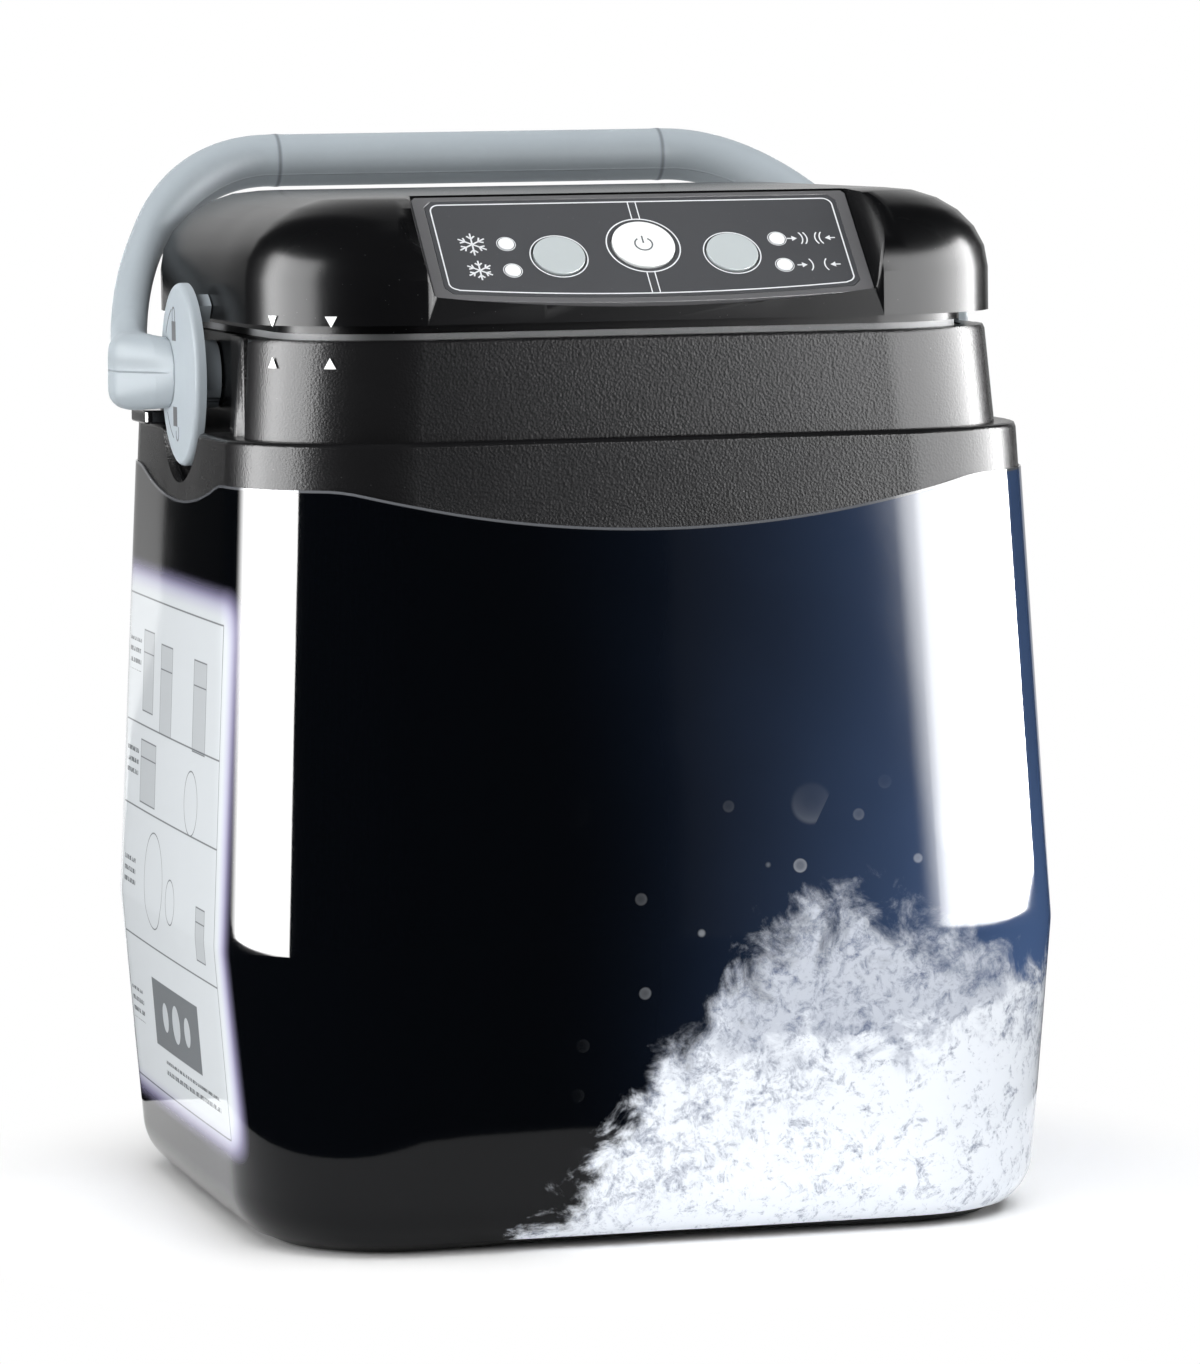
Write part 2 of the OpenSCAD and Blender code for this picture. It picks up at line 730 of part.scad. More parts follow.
// Dark bumpers on the shoulder, which the brackets of the folded handle rest on
module handle_stops() color("#141414") both_sides() {
    stop_from = pocket_r - 2.6;
    root = neck_half + fit_gap;
    edge = 2;
    reach = shoulder_half + stop_out - edge - root;
    translate([root, stop_from, shoulder_z]) linear_extrude(stop_h) hull() {
        square([reach, stop_l]);
        for (e = [edge, stop_l - edge]) translate([reach, e]) circle(r = edge, $fn = hull_fn);
    }
}

// Small printed triangles on the front left corners of neck and lid, which show how the lid goes on
module mark(half, hd, corner, angle, z, point_up) {
    across = 3.4;
    deep = 2.8;
    film = 0.15;
    flat = [corner - half + corner * cos(angle), corner - hd + corner * sin(angle)];
    translate([flat.x * (1 - side_bow * sq(flat.y / hd)), flat.y * (1 - side_bow * sq(flat.x / half)), z])
        rotate([0, 0, angle]) rotate([90, 0, 90]) linear_extrude(film)
        polygon(point_up ? [[-across / 2, 0], [across / 2, 0], [0, deep]]
            : [[-across / 2, deep], [across / 2, deep], [0, 0]]);
}
mark_angles = [-155, -127];
module align_marks_neck() color("#f4f4f4") {
    half = lerp(neck_half, neck_top_half, 0.75);
    for (a = mark_angles)
        mark(half, half - depth_less / 2, neck_corner, a, neck_z - 7, true);
}
module align_marks_lid() color("#f4f4f4") {
    for (a = mark_angles) mark(lid_half, lid_d / 2, lid_corner, a, lid_z - 0.3, false);
}

// ---- Handle --------------------------------------------------------------------------------

// A place in the bow's plane: x across, t up from the arm's root to the bar
function bow_point(x, t) =
    [x, arm_root_back + t * cos(beta), pivot_z + arm_root_up + t * sin(beta)];
function curve(p, u) = p[0] * pow(1 - u, 3) + p[1] * 3 * u * sq(1 - u)
    + p[2] * 3 * sq(u) * (1 - u) + p[3] * pow(u, 3);

arm_steps = 14;
bend_out = 30;          // how far the bar's line runs on into the bend
bend_in = 5.5;          // how far the arm leans in at half its height
arm_thinning = 3;       // how soon the arm is down to its own width, below the bar
arm_curve = [[bar_half, bow_reach], [bar_half + bend_out, bow_reach],
    [arm_root_x - bend_in, bow_reach / 2], [arm_root_x, 0]];
half_bow = [for (i = [0:arm_steps]) curve(arm_curve, i / arm_steps)];

module bow_tube() {
    left = [for (i = [arm_steps:-1:0]) bow_point(-half_bow[i].x, half_bow[i].y)];
    right = [for (i = [0:arm_steps]) bow_point(half_bow[i].x, half_bow[i].y)];
    share = [for (i = [0:arm_steps]) sq(i / arm_steps)];
    thick = [for (s = share) lerp(bar_r, arm_half_t, s)];
    wide = [for (s = share) lerp(bar_r, arm_half_w, min(1, arm_thinning * s))];
    back_to_front = [for (i = [arm_steps:-1:0]) i];
    sweep(concat(left, right), [0, -sin(beta), cos(beta)],
        concat([for (i = back_to_front) thick[i]], thick),
        concat([for (i = back_to_front) wide[i]], wide), 20);
}

// The bracket that swells out of the hub disc and carries the arm
module bracket() {
    pad_r = bracket_h / 2 - 1;
    reach = [bracket_w / 2, bracket_l / 2, bracket_h / 2];
    hull() {
        translate([hub_x, 13, pivot_z]) rod_x(pad_r, skin, $fn = hull_fn);
        for (dx = [-1, 1], dy = [-1, 1], dz = [-1, 1])
            translate([hub_x + reach.x + dx * (reach.x - bracket_round),
                arm_root_back + dy * (reach.y - bracket_round),
                pivot_z + dz * (reach.z - bracket_round)])
                sphere(r = bracket_round, $fn = 16);
    }
}

hub_screw_y = 17;
hub_screw_up = 4.6;

module handle_bow() color("#aab4bd") difference() {
    union() {
        bow_tube();
        both_sides() bracket();
        // finger stops near the ends of the grip
        both_sides() translate(bow_point(bar_half - 3, bow_reach)) rod_x(bar_r + 0.35, 2);
    }
    both_sides() for (s = [-1, 1])
        translate([hub_x - cut, hub_screw_y, pivot_z + s * hub_screw_up])
            rod_x(hub_screw_r + 2 * screw_hole_gap, hub_screw_l + 1 + cut, $fn = 32);
}

// Hub disc with its sleeve, its blind pin hole, its two screw holes and the lock tab
module hub() {
    edge = 1.4;
    inner_face = hub_x - hub_t;
    sleeve_l = inner_face - pocket_x - hub_gap;
    difference() {
        union() {
            translate([inner_face, 0, pivot_z]) rotate([0, 90, 0]) rotate_extrude($fn = 128)
                difference() {
                    square([hub_r, hub_t]);
                    translate([hub_r - edge, hub_t - edge]) difference() {
                        square(edge + cut);
                        circle(r = edge, $fn = 32);
                    }
                }
            translate([inner_face - sleeve_l, 0, pivot_z]) rod_x(hub_sleeve_r, sleeve_l + cut);
            translate([inner_face - tab_reach, 0, pivot_z]) lock_tab(tab_reach + cut);
        }
        translate([pocket_x, 0, pivot_z]) rod_x(pin_r + pin_clear, hub_x - 1.4 - pocket_x);
        for (s = [-1, 1]) translate([inner_face - cut, hub_screw_y, pivot_z + s * hub_screw_up]) {
            rod_x(hub_screw_r + screw_hole_gap, hub_t + 2 * cut);
            rod_x(hub_screw_head_r + 0.1, hub_screw_head_h + 0.2 + cut);
        }
    }
}

// A piece of ring at the disc's rim, between the tab's two angles
module lock_tab(l) {
    far = 2 * hub_r;
    rotate([90, 0, 90]) linear_extrude(l) intersection() {
        difference() {
            circle(r = hub_r - 0.4, $fn = 128);
            circle(r = hub_r - tab_size);
        }
        polygon([[0, 0], far * [cos(tab_from), sin(tab_from)], far * [cos(tab_to), sin(tab_to)]]);
    }
}

module hub_left() color("#aab4bd") mirror([1, 0, 0]) hub();
module hub_right() color("#aab4bd") hub();

hub_screw_head_r = 2.4;
hub_screw_head_h = 1;
hub_screw_r = 1.3;
hub_screw_l = 4;        // how far a hub screw reaches beyond the disc
module hub_screws() color("#9a9a9a") both_sides() for (s = [-1, 1])
    translate([hub_x - hub_t + 0.1, hub_screw_y, pivot_z + s * hub_screw_up]) {
        rod_x(hub_screw_head_r, hub_screw_head_h);
        rod_x(hub_screw_r, hub_t + hub_screw_l);
    }

// ---- Lid -----------------------------------------------------------------------------------

panel_foot = [0, -lid_d / 2 - panel_out, lid_z + panel_up];
// Puts a child on the panel: u across, v up the slope, w out of the panel
module at_panel(u = 0, v = 0, w = 0) {
    translate(panel_foot) rotate([panel_tilt, 0, 0]) translate([u, v, w]) children();
}

function panel_point(u, v, w) = panel_foot
    + [u, v * cos(panel_tilt) - w * sin(panel_tilt), v * sin(panel_tilt) + w * cos(panel_tilt)];

// A plate's outline on the panel: straight sides and top, and a lower edge that bows out
function panel_outline(half, foot, top, bow, round) = concat(
    [for (k = [0:12]) let(u = lerp(-half + round, half - round, k / 12))
        [u, foot - bow * (1 - sq(u / half))]],
    [[half, foot + round], [half, top - round], [half - round, top],
        [round - half, top], [-half, top - round], [-half, foot + round]]);

bezel_half = bezel_w / 2;
bezel_foot = bezel_bow - 0.7;

module lid_boss_places() {
    side = lid_half - 11.9;
    diagonal = (lid_corner - 12) * cos(45);
    four_corners(lid_half - lid_corner + diagonal, lid_d / 2 - lid_corner + diagonal) children();
    for (s = [-1, 1]) translate([s * side, 0, 0]) children();
}

board_post_x = board_w / 2 - 4;
module board_post_places() {
    for (u = [-board_post_x, board_post_x], v = [board_low + 3.5, board_high - 3.5])
        translate([u, v, 0]) children();
}
board_face = -bezel_t - shelf_t - 2;    // the board's upper face, along w

notch_z = lid_z + notch_up;
socket_z = notch_z + 1.5;               // underside of the socket's flange
port_z = socket_z + 5.5;                // height of the ports' axes
socket_face = notch_y + socket_t;       // the socket's outer face

module lid_cover() color("#17181a") {
    difference() {
        union() {
            difference() {
                lid_form(0, lid_z);
                lid_form(lid_wall, lid_z - cut);
            }
            // shelf under the panel, and the wall behind the hose socket
            intersection() {
                lid_form(0, lid_z);
                union() {
                    intersection() {
                        at_panel(-bezel_half - 8, -1, -bezel_t - shelf_t)
                            cube([bezel_w + 16, 60, bezel_t + shelf_t + 14]);
                        translate([-lid_half, -lid_d, lid_flange_top]) cube([lid_w, lid_d, lid_h]);
                    }
                    translate([-notch_half - lid_wall, notch_y - lid_wall, lid_flange_top])
                        cube([2 * (notch_half + lid_wall), 40, lid_top - lid_flange_top]);
                }
            }
            intersection() {
                lid_form(0, lid_z);
                lid_boss_places() translate([0, 0, lid_flange_top])
                    cylinder(r = lid_boss_r, h = 26);
            }
            // posts for the circuit board
            at_panel(0, 0, board_face) board_post_places() cylinder(r = 2.5, h = shelf_t);
        }
        // the panel's recess: the bezel's own shape, with side walls that flare outwards
        at_panel(0, 0, -bezel_t) linear_extrude(40)
            polygon(panel_outline(bezel_half + 0.15, bezel_foot - 0.15, 62, bezel_bow, 0.5));
        both_sides() at_panel(bezel_half, 62, -0.2) rotate([90, 0, 0])
            linear_extrude(62 - bezel_foot) polygon([[-2, 0], [0, 0], [14 * tan(recess_flare), 14], [-2, 14]]);
        // holes for the buttons, and for the light of the indicator lenses
        at_panel(0, 0, -bezel_t - shelf_t - cut) {
            for (s = [-1, 1]) translate([s * button_x, side_button_v, 0])
                cylinder(r = side_button_r + 1.6, h = shelf_t + 2 * cut);
            translate([0, power_button_v, 0]) cylinder(r = power_button_r + 1.6, h = shelf_t + 2 * cut);
            for (s = [-1, 1], v = [led_low, led_high]) translate([s * led_x, v, 0])
                cylinder(r = led_r - 0.4, h = shelf_t + 2 * cut);
        }
        at_panel(0, 0, board_face - cut) board_post_places() cylinder(r = 1.1, h = 3 + cut);
        lid_boss_places() translate([0, 0, lid_flange_top - cut])
            cylinder(r = 1.4 + screw_hole_gap, h = 9 + cut);
        // notch for the hose socket, and the hole for its port block
        translate([-notch_half, notch_y, notch_z]) cube([2 * notch_half, 40, lid_h]);
        translate([-port_block_half - 0.2, notch_y - 20, socket_z + 0.8])
            cube([2 * port_block_half + 0.4, 30, 10]);
        for (s = [-1, 1]) translate([s * socket_screw_x, notch_y - lid_wall - cut, port_z])
            rod_y(1.1, lid_wall + 2 * cut);
        translate([inlet_x, notch_y - lid_wall - cut, port_z]) rod_y(4.2, lid_wall + 2 * cut);
    }
}
socket_screw_x = port_block_half + 2.2;
inlet_x = notch_half - 5.4;

module lid_base() color("#121314") {
    difference() {
        union() {
            lid_block(tub_half, tub_floor, skirt_z + cut);
            lid_block(skirt_half, skirt_z, skirt_top);
            lid_block(lid_half - lid_wall - fit_gap, skirt_top, lid_flange_top);
        }
        lid_block(tub_half - tub_wall, tub_floor + tub_wall, lid_flange_top + cut);
        lid_boss_places() {
            translate([0, 0, skirt_z - cut]) cylinder(r = 1.4 + screw_hole_gap, h = 20);
            translate([0, 0, skirt_z - cut]) cylinder(r = 2.7, h = cut + 2.2);
        }
        // way through for the pump's stem and for the return spout
        translate([pump_x, pump_y, tub_floor - cut]) cylinder(r = stem_r - 2 + 0.1, h = tub_wall + 2 * cut);
        translate([spout_x, spout_y, tub_floor - cut]) cylinder(r = tube_r + 0.1, h = tub_wall + 2 * cut);
    }
}

module lid_seal() color("#3a3d40") difference() {
    lid_block(seal_half, flange_z, skirt_z);
    lid_block(seal_half - seal_breadth, flange_z - cut, skirt_z + cut);
}

module lid_foam() color("#e8e2cf") difference() {
    lid_block(tub_half - tub_wall - fit_gap, tub_floor + tub_wall, works_z);
    translate([pump_x, pump_y, tub_floor]) cylinder(r = stem_r + 1, h = works_z - tub_floor + cut);
    translate([spout_x, spout_y, tub_floor]) cylinder(r = tube_r + 1, h = works_z - tub_floor + cut);
}

lid_screw_head_r = 2.5;
lid_screw_head_h = 1.8;
lid_screw_r = 1.4;
lid_screw_l = 7;        // how far a lid screw reaches into its boss
module lid_screws() color("#9a9a9a") lid_boss_places() translate([0, 0, skirt_z + 0.4]) {
    cylinder(r = lid_screw_head_r, h = lid_screw_head_h);
    translate([0, 0, lid_screw_head_h])
        cylinder(r = lid_screw_r, h = lid_flange_top + lid_screw_l - skirt_z - 0.4 - lid_screw_head_h);
}

// ---- Control panel -------------------------------------------------------------------------

module button_holes(grow, low, h) {
    for (s = [-1, 1]) translate([s * button_x, side_button_v, low])
        cylinder(r = side_button_r + grow, h = h);
    translate([0, power_button_v, low]) cylinder(r = power_button_r + grow, h = h);
}
module led_places() {
    for (s = [-1, 1], v = [led_low, led_high]) translate([s * led_x, v, 0]) children();
}
function overlay_outline(grow) =
    panel_outline(overlay_half + grow, overlay_foot - grow, overlay_top + grow, bezel_bow, 2);

module control_bezel() color("#5d6064") difference() {
    at_panel(0, 0, -bezel_t) linear_extrude(bezel_t)
        polygon(panel_outline(bezel_half, bezel_foot, bezel_h, bezel_bow, 1));
    at_panel(0, 0, -overlay_t) linear_extrude(cut) polygon(overlay_outline(0.1));
    at_panel() button_holes(button_gap, -bezel_t - cut, bezel_t + 2 * cut);
    at_panel(0, 0, -bezel_t - cut) led_places() cylinder(r = led_r + 0.05, h = bezel_t + 2 * cut);
}

module panel_overlay() color("#3c3f43") difference() {
    at_panel(0, 0, -overlay_t) linear_extrude(overlay_t - 0.1) polygon(overlay_outline(0));
    at_panel() button_holes(button_gap, -overlay_t - cut, overlay_t + 2 * cut);
    at_panel(0, 0, -overlay_t - cut) led_places() cylinder(r = led_r + 0.05, h = overlay_t + 2 * cut);
}

module led_lenses() color("#f2f4f6") at_panel(0, 0, -bezel_t) led_places()
    cylinder(r = led_r, h = bezel_t + 0.2);

// A button's cap, its trapped flange and its plunger
module button(u, v, r) {
    at_panel(u, v, -bezel_t - 0.1) {
        cylinder(r = r, h = bezel_t + 0.1 + button_proud);
        translate([0, 0, -1.2]) cylinder(r = r + 1.2, h = 1.2);
        translate([0, 0, -1.6]) cylinder(r = 2, h = 1);
    }
}
module cold_button() color("#a9b0b4") button(-button_x, side_button_v, side_button_r);
module power_button() color("#eef0f1") button(0, power_button_v, power_button_r);
module compression_button() color("#a9b0b4") button(button_x, side_button_v, side_button_r);

module control_board() color("#1f5b3a") difference() {
    at_panel(-board_w / 2, board_low, board_face - board_t)
        cube([board_w, board_high - board_low, board_t]);
    at_panel(0, 0, board_face - board_t - cut) board_post_places()
        cylinder(r = 1.2, h = board_t + 2 * cut);
}

module board_screws() color("#9a9a9a") at_panel(0, 0, board_face - board_t - 1.2)
    board_post_places() {
        cylinder(r = 2, h = 1.2);
        cylinder(r = 1, h = 1.2 + board_t + 2.5);
    }

// A square switch body with a round plunger under each button
module tact_switches() color("#2b2b2b") at_panel(0, 0, board_face) {
    plunger_h = bezel_t + 1.7 + button_travel + 0.1;
    body = 6;
    body_h = 0.9;
    plunger_r = 1.6;
    for (p = [[-button_x, side_button_v], [0, power_button_v], [button_x, side_button_v]])
        translate([p.x, p.y, 0]) {
            translate([-body / 2, -body / 2, 0]) cube([body, body, body_h]);
            cylinder(r = plunger_r, h = -board_face - plunger_h);
        }
}

// ---- Hose socket and power inlet -----------------------------------------------------------

module hose_socket() color("#2a2c2f") difference() {
    union() {
        translate([-socket_half, notch_y, socket_z])
            cube([socket_half + socket_screw_x + 2.6, socket_t, socket_h]);
        translate([-port_block_half, notch_y - port_block_l, socket_z + 1])
            cube([2 * port_block_half, port_block_l + cut, 9.6]);
        // barbed nipples that the inner tubes are pushed on
        for (s = [-1, 1]) translate([s * port_pitch, notch_y - port_block_l - 6, port_z])
            rod_y(tube_bore_r - 0.05, 6 + cut);
        translate([0, notch_y - port_block_l - 6, port_z]) rod_y(1.45, 6 + cut);
    }
    port(-port_pitch, water_port_r, out_port_depth);
    port(port_pitch, water_port_r, out_port_depth - port_depth_step);
    port(0, air_port_r, out_port_depth - 2 * port_depth_step);
    // slot that the release latch slides in
    translate([-latch_half - 0.2, notch_y + 1, socket_z + socket_h - latch_slot])
        cube([2 * latch_half + 0.4, socket_t, latch_slot + cut]);
    translate([0, spring_y, socket_z + socket_h - latch_slot - 2.3]) cylinder(r = 1.3, h = 4);
    for (s = [-1, 1]) translate([s * socket_screw_x, notch_y - cut, port_z])
        rod_y(1.2, socket_t + 2 * cut);
}
module port(x, r, depth) { translate([x, socket_face - depth, port_z]) rod_y(r, depth + cut); }
latch_slot = 4.5;
spring_y = notch_y + 1.75;

module socket_screws() color("#9a9a9a") for (s = [-1, 1])
    translate([s * socket_screw_x, 0, port_z]) {
        translate([0, socket_face, 0]) rod_y(2, 1);
        translate([0, notch_y - lid_wall, 0]) rod_y(1, lid_wall + socket_t + 0.5);
    }

latch_z = socket_z + socket_h - latch_slot + latch_travel + 0.1;
module release_latch() color("#8d969d") {
    translate([-latch_half, notch_y + 1.2, latch_z]) cube([2 * latch_half, socket_t - 1.4, 5.2]);
    translate([-latch_half, notch_y + 1.2, latch_z + 3.4]) cube([2 * latch_half, socket_t + 0.8, 1.8]);
}

// The coil spring that lifts the latch again
module latch_spring() color("#c4c7ca") {
    turns = 4;
    low = socket_z + socket_h - latch_slot - 2.1;
    rise = latch_z - 0.25 - low;
    path = [for (i = [0:12 * turns]) let(a = 30 * i)
        [0.9 * cos(a), spring_y + 0.9 * sin(a), low + 0.2 + (rise - 0.2) * i / (12 * turns)]];
    wire(path, 0.18, 6);
}

module power_inlet() color("#202123") {
    translate([inlet_x, notch_y - lid_wall - 8, port_z]) {
        difference() {
            union() {
                rod_y(4, lid_wall + 8);
                translate([0, lid_wall + 8, 0]) rod_y(4.6, 1.4);
            }
            translate([0, lid_wall + 9.4 - inlet_depth, 0]) rod_y(inlet_r, inlet_depth + cut);
        }
        rod_y(0.9, lid_wall + 7);
    }
}

// ---- Pump ----------------------------------------------------------------------------------

pump_x = tank_foot_half - tank_wall - pump_r - pump_side_gap;
pump_y = tank_foot_half - depth_less / 2 - tank_wall - pump_r - pump_back_gap;
strainer_z = tank_z + tank_wall + pump_stand;
housing_z = strainer_z + strainer_h;
housing_top = housing_z + pump_h;
chamber_h = 8;
spout_x = port_pitch;
spout_y = notch_y - port_block_l - 17;

module at_pump(z) { translate([pump_x, pump_y, z]) children(); }

module pump_strainer() color("#33373b") difference() {
    at_pump(strainer_z) cylinder(r = pump_r, h = strainer_h);
    at_pump(strainer_z + 2) cylinder(r = pump_r - 2, h = strainer_h);
    for (a = [0:15:345]) at_pump(strainer_z + 4) rotate([0, 0, a])
        translate([pump_r - 4, -1.2, 0]) cube([6, 2.4, strainer_h - 8]);
}

module pump_housing() color("#25282b") difference() {
    at_pump(housing_z) cylinder(r = pump_r, h = pump_h);
    // chamber that the impeller turns in, with its inlet eye
    at_pump(housing_z + 2) cylinder(r = impeller_r + 2, h = chamber_h);
    at_pump(housing_z - cut) cylinder(r = 5, h = 4);
    // dry room for the motor, and the shaft's hole
    at_pump(housing_z + chamber_h + 4) cylinder(r = pump_motor_r + 0.2, h = pump_h - chamber_h - 4 - pump_wall);
    at_pump(housing_z + chamber_h) cylinder(r = pump_shaft_r + 0.08, h = 6);
    // outlet passage up to the stem
    at_pump(housing_z + 2) translate([0, -pump_r + 5.2, 0]) cylinder(r = 2.2, h = pump_h);
    at_pump(housing_z + 4) translate([-2, -pump_r + 5.2, 0]) cube([4, pump_r - 5.2, 4]);
}

module pump_motor() color("#8c9196") {
    at_pump(housing_z + chamber_h + 4) cylinder(r = pump_motor_r, h = pump_h - chamber_h - 5 - pump_wall);
}

module impeller() color("#d9dadb") at_pump(housing_z + 2.6) {
    difference() {
        cylinder(r = impeller_r, h = 1.4);
        translate([0, 0, -cut]) cylinder(r = 3, h = 1.2 + cut);
    }
    cylinder(r = 3.4, h = chamber_h - 1.6);
    cylinder(r = pump_shaft_r, h = chamber_h + 1.2);
    for (a = [0:60:300]) rotate([0, 0, a]) translate([2.5, -0.6, 0]) cube([impeller_r - 3.5, 1.2, 5]);
}

stem_low = housing_top;
module pump_stem() color("#2c2f33") difference() {
    union() {
        at_pump(stem_low) cylinder(r = stem_r, h = tub_floor - stem_low);
        at_pump(stem_low) cylinder(r = pump_r - 2, h = 7);
        at_pump(stem_low + 7) cylinder(r1 = pump_r - 2, r2 = stem_r, h = 12);
        at_pump(tub_floor) cylinder(r = stem_r - 2, h = tub_wall + 2);
    }
    at_pump(stem_low - cut) translate([0, -stem_r + 5.6, 0])
        cylinder(r = tube_r + 0.1, h = tub_floor - stem_low + tub_wall + 4 + cut);
    at_pump(stem_low - cut) translate([0, -pump_r + 5.2, 0]) cylinder(r = 2.2, h = 6 + cut);
    at_pump(stem_low + 1) translate([-2, -pump_r + 5.2, 0]) cube([4, pump_r - stem_r, 4]);
    at_pump(stem_low - cut) translate([0, 4.4, 0]) cylinder(r = 2.4, h = tub_floor - stem_low + tub_wall + 4 + cut);
}

// A round tube of straight runs and a quarter bend: up, then level to the back
module tube_up_and_back(x, y, low, level, back_to) {
    bend = 9;
    module profile() difference() { circle(r = tube_r); circle(r = tube_bore_r); }
    translate([x, y, low]) linear_extrude(level - bend - low) profile();
    translate([x, y + bend, level - bend]) rotate([90, 0, -90]) rotate_extrude(angle = 90)
        translate([bend, 0]) profile();
    translate([x, y + bend, level]) rotate([-90, 0, 0]) linear_extrude(back_to - y - bend) profile();
}

socket_back = notch_y - port_block_l;
module supply_tube() color("#c9d2d8") {
    // up the stem, then across to the left water port
    up_y = pump_y - stem_r + 5.6;
    over = 6.5;
    translate([pump_x, up_y, stem_low + 6]) linear_extrude(port_z - over - stem_low - 6) tube_ring();
    translate([pump_x - over, up_y, port_z - over]) rotate([90, 0, 0])
        rotate_extrude(angle = 90) translate([over, 0]) tube_ring();
    translate([-port_pitch + over, up_y, port_z]) rotate([0, 90, 0])
        linear_extrude(pump_x - over + port_pitch - over) tube_ring();
    translate([-port_pitch + over, up_y + over, port_z]) rotate([0, 0, 180])
        rotate_extrude(angle = 90) translate([over, 0]) tube_ring();
    translate([-port_pitch, up_y + over, port_z]) rotate([-90, 0, 0])
        linear_extrude(socket_back - up_y - over) tube_ring();
}
module tube_ring() { difference() { circle(r = tube_r); circle(r = tube_bore_r); } }

// From the right water port down through the tub's floor
module return_tube() color("#c9d2d8") {
    down = 7;
    below = 8;
    translate([spout_x, spout_y, tub_floor - below])
        linear_extrude(port_z - down - tub_floor + below) tube_ring();
    translate([spout_x, spout_y + down, port_z - down]) rotate([90, 0, -90])
        rotate_extrude(angle = 90) translate([down, 0]) tube_ring();
    translate([spout_x, spout_y + down, port_z]) rotate([-90, 0, 0])
        linear_extrude(socket_back - spout_y - down) tube_ring();
}

// ---- Compressor ----------------------------------------------------------------------------

comp_x = comp_gap - (tub_half - tub_wall);
comp_z = works_z + comp_up;
comp_body_x = comp_x + comp_motor_l;
comp_body_top = comp_z + comp_motor_r + 1;

module compressor_motor() color("#7d8286") {
    translate([comp_x, comp_y, comp_z]) rod_x(comp_motor_r, comp_motor_l);
    translate([comp_x + 4, comp_y - 6, works_z])
        cube([comp_motor_l - 8, 12, comp_z - works_z - comp_motor_r + 1.6]);
}

// A box around the crank, open at the top under the diaphragm
module compressor_body() color("#3d4145") difference() {
    translate([comp_body_x, comp_y - comp_body_w / 2, works_z])
        cube([comp_body_l, comp_body_w, comp_body_top - works_z]);
    translate([comp_body_x + 3, comp_y, comp_z]) rod_x(crank_r + crank_throw + 1, comp_body_l - 6);
    translate([comp_body_x + 3, comp_y - 5, comp_z]) cube([comp_body_l - 6, 10, 40]);
    translate([comp_body_x - cut, comp_y, comp_z]) rod_x(comp_shaft_r + 0.05, comp_body_l - 2);
}

// Shaft, disc and offset pin that drive the diaphragm
module crank() color("#b8bcc0") translate([comp_body_x, comp_y, comp_z]) {
    translate([0.2, 0, 0]) rod_x(comp_shaft_r, 8);
    translate([4, 0, 0]) rod_x(crank_r, 4);
    translate([7, 0, crank_throw]) rod_x(2, 8);
}

module diaphragm_head() color("#26292c") translate([comp_body_x + comp_body_l / 2, comp_y, comp_body_top]) {
    cylinder(r = head_r - 4, h = head_h - 3);
    translate([-comp_body_l / 2, -head_r, 0]) cube([comp_body_l, 2 * head_r, 3]);
    translate([0, 0, 3]) cylinder(r = 3.5, h = head_h - 3);
}

valve_x = -28;
valve_y = lid_d / 2 - 44.9;
valve_r = 7;
valve_h = 20;
module air_valve() color("#4a5560") translate([valve_x, valve_y, works_z]) {
    cylinder(r = valve_r, h = valve_h);
    translate([-5, -5, valve_h]) cube([10, 10, 5]);
}

// From the diaphragm head to the valve, and on to the air port
air_high = comp_body_top + 5;
air_from = [comp_body_x + comp_body_l / 2, comp_y + head_r - 3.6, air_high];
module air_tube() color("#c9d2d8") {
    valve_top = works_z + valve_h + 5;
    tube_end = 0.1;
    wire([air_from, air_from + [-1, 7, 1], [valve_x + 3, valve_y - 10, valve_top + 12],
        [valve_x, valve_y, valve_top + 7], [valve_x, valve_y, valve_top + tube_end]], 1.2);
    wire([[valve_x + 5 + tube_end, valve_y + 2, valve_top - 2.5], [valve_x + 9, valve_y + 2, valve_top - 2.5],
        [-8, spout_y - 1, port_z - 5.5], [-1.5, spout_y + 5, port_z - 1], [0, socket_back - 9, port_z],
        [0, socket_back - 6 - tube_end, port_z]], 1.2);
}

// ---- Wires ---------------------------------------------------------------------------------

module wiring_harness() color("#a33327") {
    back = board_face - board_t;
    mid = (board_low + board_high) / 2;
    wire([panel_point(-40, mid, back), panel_point(-41, mid, back - 7), [comp_x + 16, -46, works_z + 25],
        [comp_x + 8, -28, comp_z], [comp_x + 8, -12, comp_z - 2],
        [comp_x + 8, comp_y - comp_motor_r, comp_z]], 1.1);
    wire([panel_point(36, mid, back), panel_point(37, mid, back - 7), [pump_x - 6, -40, works_z + 21],
        [pump_x + 2, -10, works_z + 15], [pump_x + 8, 20, works_z + 13], [pump_x + 7, pump_y, works_z + 11],
        [pump_x, pump_y + 4.4, works_z + 6], [pump_x, pump_y + 4.4, stem_low + 8]], 1.1);
    wire([panel_point(20, mid, back), panel_point(20, mid, back - 7), [inlet_x, -30, works_z + 21],
        [inlet_x + 4, 10, works_z + 21], [inlet_x + 4, 50, works_z + 24],
        [inlet_x, notch_y - lid_wall - 13, port_z - 1], [inlet_x, notch_y - lid_wall - 8, port_z]], 1.1);
}

